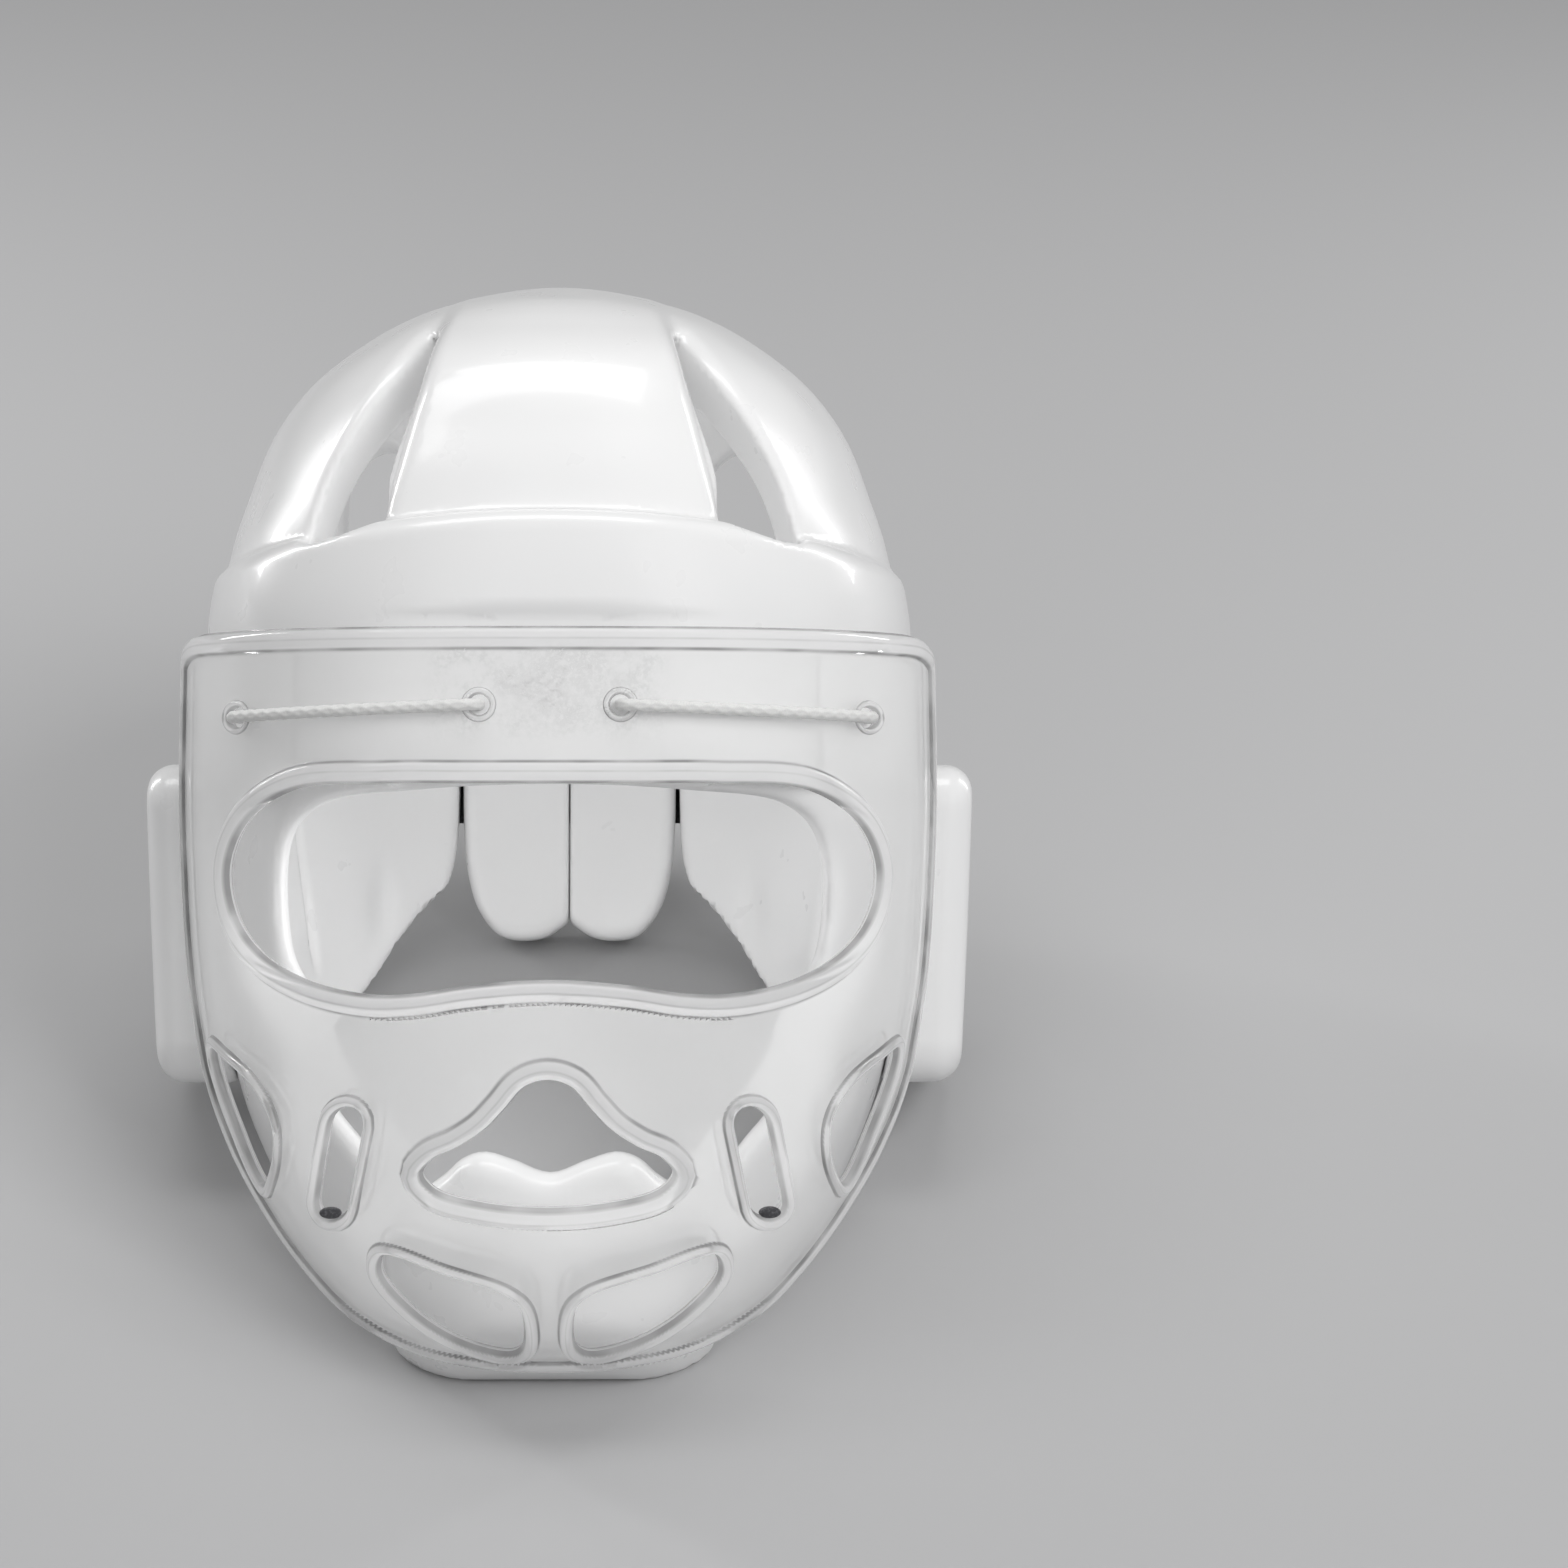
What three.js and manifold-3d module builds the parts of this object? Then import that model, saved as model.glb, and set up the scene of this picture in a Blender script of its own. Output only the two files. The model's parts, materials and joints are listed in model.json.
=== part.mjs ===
// Karate headgear: a dipped foam head guard with a clear moulded face shield laced to its brow.
// Millimetres, +Z up. The guard is drawn upright with its face towards -Y, the ear line at y = 0 and
// the chin at z = 0. Its group is then tipped back to the way it lies by itself on a table: on the
// heel of the chin pad and on the two nape lobes.

import * as THREE from 'three';
import { mergeVertices } from 'three/addons/utils/BufferGeometryUtils.js';
import Module from 'manifold-3d';

const wasm = await Module();
wasm.setup();

// Driving dimensions

const clearance = 0.3; // left between pieces that touch

const guard = {
  height: 284.5, // chin to crown top
  width: 184, // foam alone, without the ear pads
  front: 104, // ear line to the crown's front
  back: 113, // ear line to the back of the head
  foam: 14, // foam wall
  sides: 38, // facets round a section
};

const brow = {
  bottom: 150.5, // lower edge above the eyes
  top: 219, // upper edge at the centre
  drop: 11, // how much lower the upper edge is at the sides
  end: -8, // y where the band ends, in front of the ears
  proud: 13, // how far it stands out of the crown at the centre
  proudSide: 2.4, // and at the sides
};

const crown = {
  bottom: 195, // seam above the side panels and the nape lobes
  panelTop: 264,
  panelHalfTop: 31,
  panelHalfFoot: 42,
  panelProud: 4.5,
};

const face = {
  halfWidth: 67, // opening in the foam at eye level
  chinTop: 59, // top of the chin pad's bumps
  chinHalf: 34, // seam between the chin pad and the cheeks
};

const ear = { front: -23, back: 39, bottom: 71, top: 157, proud: 19, slant: 3.5, bevel: 5, corner: 10 };

const nape = { bottom: 107, halfWidth: 30.5, notch: 5, gapTop: 1.4, gapFoot: 6 };

const strap = { bottom: 141, width: 38, thickness: 2, end: 46 };

const shield = {
  height: 186, // lower rim to upper rim
  top: 189, // upper rim
  standoff: 7.5, // beside the foam at the ears
  muzzle: 36, // in front of the crown's front at the mouth
  sheet: 2.2,
  lip: 2, // how far a rolled rim stands out of the sheet
  rim: 4, // width of a rolled rim
  edge: -30, // y of the rear edges beside the ears
  corner: 8,
  sides: 46,
};

const eye = { halfWidth: 83.2, bottom: 98, top: 151 };
const mouth = { halfWidth: 31.3, bottom: 46.2, top: 78.2 };
const slot = { x: 52, z: 56.5, length: 29.5, width: 9.6, lean: 0.2 };
const sideSlot = { front: -98, back: -60, bottom: 48.5, top: 82 };
const chinVent = { inner: 6.3, outer: 43, bottom: 7.8, top: 34.6 };
const eyelet = { innerX: 17.5, outerX: 80, innerZ: 170, outerZ: 167.5, radius: 3 };
const lace = { radius: 1.3, depth: 7, sides: 8, steps: 18 };
const rivet = { width: 5.6, height: 3, head: 1.6, sides: 12 };
const rest = { depth: 1.2 }; // how deep the two resting flats are cut into the foam

// Outer sections of the foam from the chin up. level is a share of guard.height, side of half
// guard.width, front of guard.front and back of guard.back. square is the superellipse exponent.
const foamSections = [
  { level: -0.021, side: 0.48, front: 0.87, back: 0.8, square: 2.1 },
  { level: 0.0, side: 0.5, front: 0.9, back: 0.8, square: 2.1 },
  { level: 0.042, side: 0.58, front: 1.0, back: 0.82, square: 2.1 },
  { level: 0.105, side: 0.72, front: 1.07, back: 0.85, square: 2.1 },
  { level: 0.176, side: 0.84, front: 1.1, back: 0.88, square: 2.15 },
  { level: 0.246, side: 0.925, front: 1.1, back: 0.9, square: 2.2 },
  { level: 0.316, side: 0.97, front: 1.09, back: 0.92, square: 2.3 },
  { level: 0.387, side: 0.978, front: 1.07, back: 0.945, square: 2.35 },
  { level: 0.527, side: 1.0, front: 1.04, back: 0.99, square: 2.4 },
  { level: 0.668, side: 0.995, front: 1.01, back: 1.0, square: 2.4 },
  { level: 0.752, side: 0.951, front: 0.985, back: 0.982, square: 2.35 },
  { level: 0.801, side: 0.902, front: 0.942, back: 0.947, square: 2.3 },
  { level: 0.849, side: 0.846, front: 0.875, back: 0.894, square: 2.25 },
  { level: 0.896, side: 0.75, front: 0.79, back: 0.796, square: 2.2 },
  { level: 0.944, side: 0.576, front: 0.625, back: 0.637, square: 2.15 },
  { level: 0.973, side: 0.41, front: 0.47, back: 0.478, square: 2.1 },
  { level: 0.991, side: 0.215, front: 0.25, back: 0.26, square: 2.0 },
  { level: 1.0, side: 0.02, front: 0.02, back: 0.02, square: 2.0 },
];

// Outer sections of the shield. level is a share of shield.height, side of its half width,
// forward of shield.muzzle, measured from the crown's front.
const shieldSections = [
  { level: -0.03, side: 0.45, forward: -0.25, square: 2.0 },
  { level: 0.01, side: 0.53, forward: 0.08, square: 2.05 },
  { level: 0.05, side: 0.61, forward: 0.47, square: 2.1 },
  { level: 0.12, side: 0.71, forward: 0.78, square: 2.15 },
  { level: 0.2, side: 0.8, forward: 0.97, square: 2.2 },
  { level: 0.3, side: 0.885, forward: 1.0, square: 2.25 },
  { level: 0.41, side: 0.945, forward: 0.89, square: 2.35 },
  { level: 0.52, side: 0.975, forward: 0.72, square: 2.45 },
  { level: 0.63, side: 0.99, forward: 0.58, square: 2.55 },
  { level: 0.79, side: 1.0, forward: 0.46, square: 2.6 },
  { level: 1.0, side: 0.995, forward: 0.42, square: 2.6 },
  { level: 1.04, side: 0.995, forward: 0.41, square: 2.6 },
];

// The shield's outline from the front, upper corner down to the chin. side is a share of its half
// width, level of its height.
const shieldOutline = [
  { side: 1.0, level: 0.79 },
  { side: 0.98, level: 0.57 },
  { side: 0.945, level: 0.463 },
  { side: 0.91, level: 0.367 },
  { side: 0.834, level: 0.277 },
  { side: 0.744, level: 0.202 },
  { side: 0.643, level: 0.133 },
  { side: 0.533, level: 0.075 },
  { side: 0.44, level: 0.048 },
  { side: 0.32, level: 0.024 },
  { side: 0.18, level: 0.012 },
  { side: 0.0, level: 0.009 },
];

// Half outlines of the shield's mirrored openings, from top centre to bottom centre. across is a
// share of the half width, up a share of the height.
const eyeOutline = [
  { across: 0.0, up: 1.0 },
  { across: 0.49, up: 1.0 },
  { across: 0.78, up: 0.97 },
  { across: 0.94, up: 0.81 },
  { across: 1.0, up: 0.59 },
  { across: 0.97, up: 0.35 },
  { across: 0.88, up: 0.18 },
  { across: 0.73, up: 0.06 },
  { across: 0.54, up: 0.0 },
  { across: 0.4, up: 0.005 },
  { across: 0.23, up: 0.045 },
  { across: 0.0, up: 0.07 },
];

const mouthOutline = [
  { across: 0.0, up: 1.0 },
  { across: 0.18, up: 0.95 },
  { across: 0.34, up: 0.78 },
  { across: 0.49, up: 0.63 },
  { across: 0.69, up: 0.5 },
  { across: 0.9, up: 0.4 },
  { across: 1.0, up: 0.27 },
  { across: 0.885, up: 0.135 },
  { across: 0.49, up: 0.036 },
  { across: 0.0, up: 0.0 },
];

// Whole outlines of the shield's paired openings. across and up are shares of the opening's box.
const chinVentOutline = [
  { across: 0.94, up: 1.0 },
  { across: 0.5, up: 0.84 },
  { across: 0.1, up: 0.65 },
  { across: 0.01, up: 0.5 },
  { across: 0.0, up: 0.1 },
  { across: 0.08, up: 0.0 },
  { across: 0.42, up: 0.1 },
  { across: 0.78, up: 0.42 },
  { across: 0.99, up: 0.79 },
];

const sideSlotOutline = [
  { across: 1.0, up: 1.0 },
  { across: 0.5, up: 0.93 },
  { across: 0.12, up: 0.75 },
  { across: 0.0, up: 0.54 },
  { across: 0.1, up: 0.3 },
  { across: 0.38, up: 0.09 },
  { across: 0.73, up: 0.0 },
  { across: 0.86, up: 0.4 },
];

// The foam's face opening from the brow down to the chin pad's dip. across is a share of
// face.halfWidth, up a share of the way from face.chinTop to brow.bottom.
const faceOutline = [
  { across: 0.0, up: 1.0 },
  { across: 0.5, up: 0.985 },
  { across: 0.88, up: 0.945 },
  { across: 1.0, up: 0.85 },
  { across: 1.0, up: 0.54 },
  { across: 0.9, up: 0.41 },
  { across: 0.83, up: 0.32 },
  { across: 0.85, up: 0.23 },
  { across: 0.83, up: 0.12 },
  { across: 0.72, up: 0.02 },
  { across: 0.515, up: -0.15 },
  { across: 0.46, up: -0.1 },
  { across: 0.39, up: -0.06 },
  { across: 0.33, up: -0.02 },
  { across: 0.25, up: 0.0 },
  { across: 0.14, up: -0.02 },
  { across: 0.0, up: -0.055 },
];

// Lower edge of the foam from the side, chin to nape. along is a share of the way from the ear
// line to the front, if negative, or to the back; up is a share of nape.bottom.
const jawLine = [
  { along: -1.6, up: 0.34 },
  { along: -1.0, up: 0.08 },
  { along: -0.82, up: 0.0 },
  { along: -0.72, up: 0.0 },
  { along: -0.62, up: 0.12 },
  { along: -0.28, up: 0.33 },
  { along: 0.0, up: 0.5 },
  { along: 0.35, up: 0.72 },
  { along: 0.5, up: 0.79 },
  { along: 0.618, up: 0.88 },
  { along: 0.785, up: 1.115 },
  { along: 1.3, up: 1.85 },
];

// Rear edge of the shield from the side, upper corner to chin. along is a share of the way from
// the rear edge to the crown's front, level a share of the shield's height.
const shieldProfile = [
  { along: 0.0, level: 0.45 },
  { along: 0.1, level: 0.34 },
  { along: 0.3, level: 0.21 },
  { along: 0.55, level: 0.1 },
  { along: 0.8, level: 0.02 },
];

// Front vent of the crown, seen from the front: a slanted wedge beside the centre panel. across is
// a share of guard.width, up a share of the way from the brow's top to the panel's top.
const frontVentOutline = [
  { across: 0.178, up: 1.08 },
  { across: 0.252, up: 0.68 },
  { across: 0.293, up: 0.38 },
  { across: 0.32, up: 0.1 },
  { across: 0.332, up: -0.22 },
  { across: 0.238, up: -0.1 },
  { across: 0.226, up: 0.25 },
  { across: 0.198, up: 0.65 },
  { across: 0.172, up: 1.04 },
];

const rearVent = { inner: 38, outer: 62, bottom: 213, top: 246, corner: 8 };

const white = new THREE.Color(0.9, 0.9, 0.9);
const finishes = {
  foam: { color: white, roughness: 0.25, metalness: 0 },
  shield: { color: new THREE.Color(0.85, 0.87, 0.88), roughness: 0.08, metalness: 0, transparent: true, opacity: 0.35 },
  elastic: { color: new THREE.Color(0.03, 0.03, 0.03), roughness: 0.9, metalness: 0 },
  cord: { color: new THREE.Color(0.85, 0.85, 0.83), roughness: 0.8, metalness: 0 },
  stud: { color: new THREE.Color(0.12, 0.12, 0.13), roughness: 0.4, metalness: 0 },
};

// Geometry to solid and back

function solidOf(geometry, otherHand = false) {
  const bare = geometry.clone();
  bare.deleteAttribute('normal');
  bare.deleteAttribute('uv');
  const merged = mergeVertices(bare, 1e-4);
  if (otherHand) {
    merged.scale(-1, 1, 1);
    merged.index.array.reverse();
  }
  return new wasm.Manifold(new wasm.Mesh({
    numProp: 3,
    vertProperties: new Float32Array(merged.attributes.position.array),
    triVerts: new Uint32Array(merged.index.array),
  }));
}

function meshOf(name, solid, finish) {
  const { vertProperties, triVerts, numProp } = solid.getMesh();
  const positions = new Float32Array(vertProperties.length / numProp * 3);
  for (let i = 0; i < positions.length / 3; i++) {
    positions.set(vertProperties.subarray(i * numProp, i * numProp + 3), i * 3);
  }
  const geometry = new THREE.BufferGeometry();
  geometry.setAttribute('position', new THREE.BufferAttribute(positions, 3));
  geometry.setIndex(new THREE.BufferAttribute(new Uint32Array(triVerts), 1));
  geometry.computeVertexNormals();
  const mesh = new THREE.Mesh(geometry, new THREE.MeshStandardMaterial(finish));
  mesh.name = name;
  return mesh;
}

// A closed solid through loops of equal length, each running anticlockwise seen from the last one.
function loft(loops) {
  const count = loops[0].length;
  const positions = [];
  const index = [];
  for (const loop of loops) {
    for (const p of loop) positions.push(p.x, p.y, p.z);
  }
  for (let r = 0; r + 1 < loops.length; r++) {
    for (let i = 0; i < count; i++) {
      const next = (i + 1) % count;
      const a = r * count + i;
      const b = r * count + next;
      index.push(a, b, b + count, a, b + count, a + count);
    }
  }
  const last = (loops.length - 1) * count;
  const footCentre = positions.length / 3;
  for (const loop of [loops[0], loops[loops.length - 1]]) {
    const middle = new THREE.Vector3();
    for (const p of loop) middle.add(p);
    middle.divideScalar(count);
    positions.push(middle.x, middle.y, middle.z);
  }
  for (let i = 0; i < count; i++) {
    const next = (i + 1) % count;
    index.push(footCentre, next, i);
    index.push(footCentre + 1, last + i, last + next);
  }
  const geometry = new THREE.BufferGeometry();
  geometry.setAttribute('position', new THREE.Float32BufferAttribute(positions, 3));
  geometry.setIndex(index);
  return solidOf(geometry);
}

// Section tables

const foamRows = foamSections.map((row) => ({
  z: row.level * guard.height,
  side: row.side * guard.width / 2,
  front: row.front * guard.front,
  back: row.back * guard.back,
  square: row.square,
}));

const shieldHalf = guard.width / 2 + shield.standoff;
const shieldFoot = shield.top - shield.height;
const shieldRows = shieldSections.map((row) => ({
  z: shieldFoot + row.level * shield.height,
  side: row.side * shieldHalf,
  front: guard.front + row.forward * shield.muzzle,
  back: guard.back,
  square: row.square,
}));

// The rows moved out along the section profile's own normal.
function grown(rows, distance) {
  const girth = (row) => (row.side + row.front + row.back) / 3;
  return rows.map((row, i) => {
    const below = rows[Math.max(i - 1, 0)];
    const above = rows[Math.min(i + 1, rows.length - 1)];
    const run = girth(above) - girth(below);
    const rise = above.z - below.z;
    const out = distance * rise / Math.hypot(run, rise);
    const up = -distance * run / Math.hypot(run, rise);
    const wider = (length) => Math.max(length + out, 0.4);
    return { ...row, z: row.z + up, side: wider(row.side), front: wider(row.front), back: wider(row.back) };
  });
}

function ring(row, sides) {
  const power = 2 / row.square;
  return Array.from({ length: sides }, (_, i) => {
    const angle = 2 * Math.PI * i / sides;
    const c = Math.cos(angle);
    const s = Math.sin(angle);
    const reach = s < 0 ? row.front : row.back;
    const x = Math.sign(c) * Math.abs(c) ** power * row.side;
    const y = Math.sign(s) * Math.abs(s) ** power * reach;
    return new THREE.Vector3(x, y, row.z);
  });
}

function stack(rows, sides) {
  return loft(rows.map((row) => ring(row, sides)));
}

// The y of a section stack's front surface at x, z.
function frontAt(rows, x, z) {
  const above = Math.max(1, rows.findIndex((row) => row.z > z));
  const low = rows[above - 1];
  const high = rows[above];
  const t = (z - low.z) / (high.z - low.z);
  const side = THREE.MathUtils.lerp(low.side, high.side, t);
  const front = THREE.MathUtils.lerp(low.front, high.front, t);
  const square = THREE.MathUtils.lerp(low.square, high.square, t);
  const share = Math.min(Math.abs(x) / side, 1);
  return -front * (1 - share ** square) ** (1 / square);
}

// Outlines

function mirrored(half) {
  const other = half.filter(([x]) => x > 0).reverse().map(([x, z]) => [-x, z]);
  return [...half, ...other];
}

function spline(points, count) {
  const curve = new THREE.CatmullRomCurve3(points.map(([x, z]) => new THREE.Vector3(x, z, 0)), true, 'centripetal');
  return curve.getSpacedPoints(count).slice(0, count).map((p) => [p.x, p.y]);
}

function inBox(outline, left, right, bottom, top) {
  return outline.map(({ across, up }) => [left + across * (right - left), bottom + up * (top - bottom)]);
}

function area(points) {
  return points.reduce((sum, [x, z], i) => {
    const [nx, nz] = points[(i + 1) % points.length];
    return sum + (x * nz - nx * z) / 2;
  }, 0);
}

// The outline with every point moved out by a distance along its own normal.
function widened(points, distance) {
  const turn = Math.sign(area(points));
  return points.map(([x, z], i) => {
    const [ax, az] = points[(i + points.length - 1) % points.length];
    const [bx, bz] = points[(i + 1) % points.length];
    const length = Math.hypot(bx - ax, bz - az);
    return [x + turn * distance * (bz - az) / length, z - turn * distance * (bx - ax) / length];
  });
}

function flat(points) {
  return new THREE.Shape(points.map(([x, z]) => new THREE.Vector2(x, z)));
}

// A rounded rectangle as an outline.
function roundedBox(left, right, bottom, top, radius) {
  const arc = 3;
  const corners = [[right, top, 0], [left, top, 1], [left, bottom, 2], [right, bottom, 3]];
  const points = [];
  for (const [x, z, quarter] of corners) {
    const cx = x + (x === right ? -radius : radius);
    const cz = z + (z === top ? -radius : radius);
    for (let i = 0; i <= arc; i++) {
      const angle = (quarter + i / arc) * Math.PI / 2;
      points.push([cx + radius * Math.cos(angle), cz + radius * Math.sin(angle)]);
    }
  }
  return points;
}

// A slot with round ends as an outline, leaning by a share of its length.
function stadium(x, z, length, width, lean) {
  const arc = 4;
  const points = [];
  for (const end of [1, -1]) {
    for (let i = 0; i <= arc; i++) {
      const angle = (end > 0 ? 0 : Math.PI) + Math.PI * i / arc;
      const up = end * (length - width) / 2 + width / 2 * Math.sin(angle);
      points.push([x - lean * up + width / 2 * Math.cos(angle), z + up]);
    }
  }
  return points;
}

// Prisms

function alongY(outline, from, to) {
  const geometry = new THREE.ExtrudeGeometry(flat(outline), { depth: to - from, bevelEnabled: false });
  geometry.rotateX(Math.PI / 2);
  geometry.translate(0, to, 0);
  return solidOf(geometry);
}

function alongX(outline, from, to) {
  const geometry = new THREE.ExtrudeGeometry(flat(outline), { depth: to - from, bevelEnabled: false });
  const turn = new THREE.Matrix4().makeBasis(
    new THREE.Vector3(0, 1, 0), new THREE.Vector3(0, 0, 1), new THREE.Vector3(1, 0, 0));
  geometry.applyMatrix4(turn);
  geometry.translate(from, 0, 0);
  return solidOf(geometry);
}

function block(low, high) {
  const size = high.map((value, i) => value - low[i]);
  const geometry = new THREE.BoxGeometry(...size);
  geometry.translate(...low.map((value, i) => value + size[i] / 2));
  return solidOf(geometry);
}

// A solid punched through a curved front: the outline lies on the surface, and the walls run along
// one direction inward.
function punch(outline, rows, inward, before, behind) {
  const onSurface = outline.map(([x, z]) => new THREE.Vector3(x, frontAt(rows, x, z), z));
  if (area(outline) > 0) onSurface.reverse();
  const shifted = (distance) => onSurface.map((p) => p.clone().addScaledVector(inward, distance));
  return loft([shifted(-before), shifted(behind)]);
}

const reach = 400; // longer than the guard in every direction

// Foam

const foamOuter = stack(foamRows, guard.sides);
const hollowRows = grown(foamRows, -guard.foam);
const hollow = stack([{ ...hollowRows[0], z: hollowRows[0].z - guard.foam * 2 }, ...hollowRows], guard.sides);
const foamWall = foamOuter.subtract(hollow);

const browTopAt = (x) => brow.top - brow.drop * Math.min(1, (Math.abs(x) / (guard.width / 2)) ** 2 * 1.1);

function browRegion(spare) {
  const steps = 12;
  const half = guard.width;
  const edge = Array.from({ length: steps + 1 }, (_, i) => {
    const x = half * (1 - 2 * i / steps) * 0.6;
    return [x, browTopAt(x) + spare];
  });
  return alongY([...edge, [-half, brow.bottom - spare], [half, brow.bottom - spare]], -reach, brow.end + spare);
}

function faceOpening() {
  const height = brow.bottom - face.chinTop;
  const half = faceOutline.map(({ across, up }) => [across * face.halfWidth, face.chinTop + up * height]);
  return alongY(mirrored(half), -reach, 0);
}

function belowJaw() {
  const line = jawLine.map(({ along, up }) => [along * (along < 0 ? guard.front : guard.back), up * nape.bottom]);
  return alongX([...line, [reach, -reach], [-reach, -reach]], -reach, reach);
}

// The nape lobe on one side, seen from behind, wider by the gap beside it where asked.
function lobeRegion(side, withGap) {
  const inner = clearance / 2;
  const spareTop = withGap ? nape.gapTop : 0;
  const spareFoot = withGap ? nape.gapFoot : 0;
  const top = crown.bottom - clearance / 2 + (withGap ? 1 : 0);
  const drop = withGap ? nape.bottom / 2 : 0;
  const half = nape.halfWidth;
  const rise = (share) => nape.bottom + share * half - drop;
  const outline = [
    [withGap ? -1 : inner, top],
    [half + spareTop, top],
    [half + spareTop, rise(1.1) + drop],
    [half * 0.97 + spareFoot * 0.7, rise(0.7) + drop * 0.7],
    [half * 0.86 + spareFoot, rise(0.3)],
    [half * 0.66 + spareFoot, rise(0.05)],
    [half * 0.45, rise(0)],
    [half * 0.22, rise(0.03)],
    [withGap ? -1 : inner, rise(nape.notch / half)],
  ];
  return alongY(outline.map(([x, z]) => [side * x, z]), guard.back / 5, reach);
}

// The floor plane in the guard's own upright frame.
const chinHeel = { y: -(0.9 * guard.front - guard.foam), z: 0 };
const napeHeel = { y: guard.back * 0.94, z: nape.bottom };
const tilt = Math.atan2(napeHeel.z - chinHeel.z, napeHeel.y - chinHeel.y);
const floorTop = -chinHeel.y * Math.sin(tilt) + chinHeel.z * Math.cos(tilt) + rest.depth;

function underFloor() {
  const geometry = new THREE.BoxGeometry(reach * 2, reach * 4, reach);
  geometry.translate(0, 0, floorTop - reach / 2);
  geometry.rotateX(tilt);
  return solidOf(geometry);
}

function frontVent(side) {
  const height = crown.panelTop - brow.top;
  const outline = frontVentOutline.map(({ across, up }) => [side * across * guard.width, brow.top + up * height]);
  const inward = new THREE.Vector3(-side * 0.26, 0.85, -0.44).normalize();
  return punch(outline, foamRows, inward, 12, guard.foam * 2.4);
}

function makeCrown() {
  const upper = foamWall.intersect(block([-reach, -reach, crown.bottom + clearance / 2], [reach, reach, reach]));
  const panelOutline = [
    [-crown.panelHalfFoot, brow.bottom], [crown.panelHalfFoot, brow.bottom],
    [crown.panelHalfFoot, brow.top], [crown.panelHalfTop, crown.panelTop],
    [-crown.panelHalfTop, crown.panelTop], [-crown.panelHalfFoot, brow.top],
  ];
  const raised = stack(grown(foamRows, crown.panelProud), guard.sides);
  const panel = raised.subtract(hollow).intersect(alongY(panelOutline, -reach, -guard.front / 4));
  let solid = upper.add(panel);
  for (const side of [1, -1]) {
    const { inner, outer, bottom, top, corner } = rearVent;
    const rear = roundedBox(inner, outer, bottom, top, corner).map(([x, z]) => [side * x, z]);
    solid = solid.subtract(frontVent(side)).subtract(alongY(rear, guard.back / 3, reach));
  }
  return solid.subtract(browRegion(clearance / 2))
    .intersect(block([-reach, -reach, crown.bottom + clearance / 2], [reach, reach, reach]));
}

// Shield

const shieldOuter = stack(shieldRows, shield.sides);
const shieldInner = stack(grown(shieldRows, -shield.sheet), shield.sides);

function shieldRegion(inset) {
  const front = shieldOutline.map(({ side, level }) => [side * shieldHalf, shieldFoot + level * shield.height]);
  const wide = shieldHalf + 5;
  const outer = front.map(([x, z], i) => (i === 0 ? [wide, z] : [x, z]));
  const c = shield.corner;
  const corner = [0, 0.25, 0.5, 0.75, 1].map((t) => {
    const angle = Math.PI / 2 * (1 - t);
    return [shieldHalf - c + c * Math.cos(angle), shield.top - c + c * Math.sin(angle)];
  });
  const frontal = alongY(mirrored([[0, shield.top], ...corner, ...outer.slice(1)]), -reach, 0);
  const depth = guard.front + shield.edge;
  const profile = shieldProfile.map(({ along, level }) => [
    shield.edge - along * depth - inset, shieldFoot + level * shield.height + inset * 0.4]);
  const high = shield.top - inset;
  const sidePlan = [
    [-reach, high], [shield.edge - c - inset, high], [shield.edge - inset, high - c],
    ...profile, [-reach, shieldFoot - 5],
  ];
  const side = alongX(sidePlan, -reach, reach);
  return inset > 0 ? side : frontal.intersect(side);
}

function shieldHoles(spare) {
  const along = (outline) => alongY(widened(outline, spare), -reach, -guard.front / 3);
  const eyes = mirrored(inBox(eyeOutline, 0, eye.halfWidth, eye.bottom, eye.top));
  const lips = mirrored(inBox(mouthOutline, 0, mouth.halfWidth, mouth.bottom, mouth.top));
  const holes = [along(spline(eyes, 34)), along(spline(lips, 24))];
  for (const side of [1, -1]) {
    const vent = inBox(chinVentOutline, side * chinVent.inner, side * chinVent.outer, chinVent.bottom, chinVent.top);
    holes.push(along(spline(vent, 16)));
    holes.push(along(stadium(side * slot.x, slot.z, slot.length, slot.width, side * slot.lean)));
    const plan = inBox(sideSlotOutline, sideSlot.back, sideSlot.front, sideSlot.bottom, sideSlot.top)
      .map(([y, z]) => [sideSlot.back + sideSlot.front - y, z]);
    const cut = widened(spline(plan, 14), spare);
    const near = Math.min(side * guard.width / 4, side * reach);
    const far = Math.max(side * guard.width / 4, side * reach);
    holes.push(alongX(cut, near, far));
  }
  return holes;
}

function eyeletHoles(spare) {
  const holes = [];
  for (const side of [1, -1]) {
    for (const [x, z] of [[eyelet.innerX, eyelet.innerZ], [eyelet.outerX, eyelet.outerZ]]) {
      const radius = eyelet.radius + spare;
      const circle = Array.from({ length: 8 }, (_, i) => {
        const angle = Math.PI / 4 * i;
        return [side * x + radius * Math.cos(angle), z + radius * Math.sin(angle)];
      });
      holes.push(alongY(circle, -reach, -guard.front / 3));
    }
  }
  return holes;
}

function makeShield() {
  const region = shieldRegion(0);
  const sheet = shieldOuter.subtract(shieldInner).intersect(region);
  const lipOuter = stack(grown(shieldRows, shield.lip), shield.sides);
  const thick = lipOuter.subtract(shieldInner).intersect(region);
  let rims = region.subtract(shieldRegion(shield.rim));
  for (const hole of shieldHoles(shield.rim)) rims = rims.add(hole);
  let solid = sheet.add(thick.intersect(rims));
  for (const hole of [...shieldHoles(0), ...eyeletHoles(0)]) solid = solid.subtract(hole);
  return solid;
}

// Laces

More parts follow.
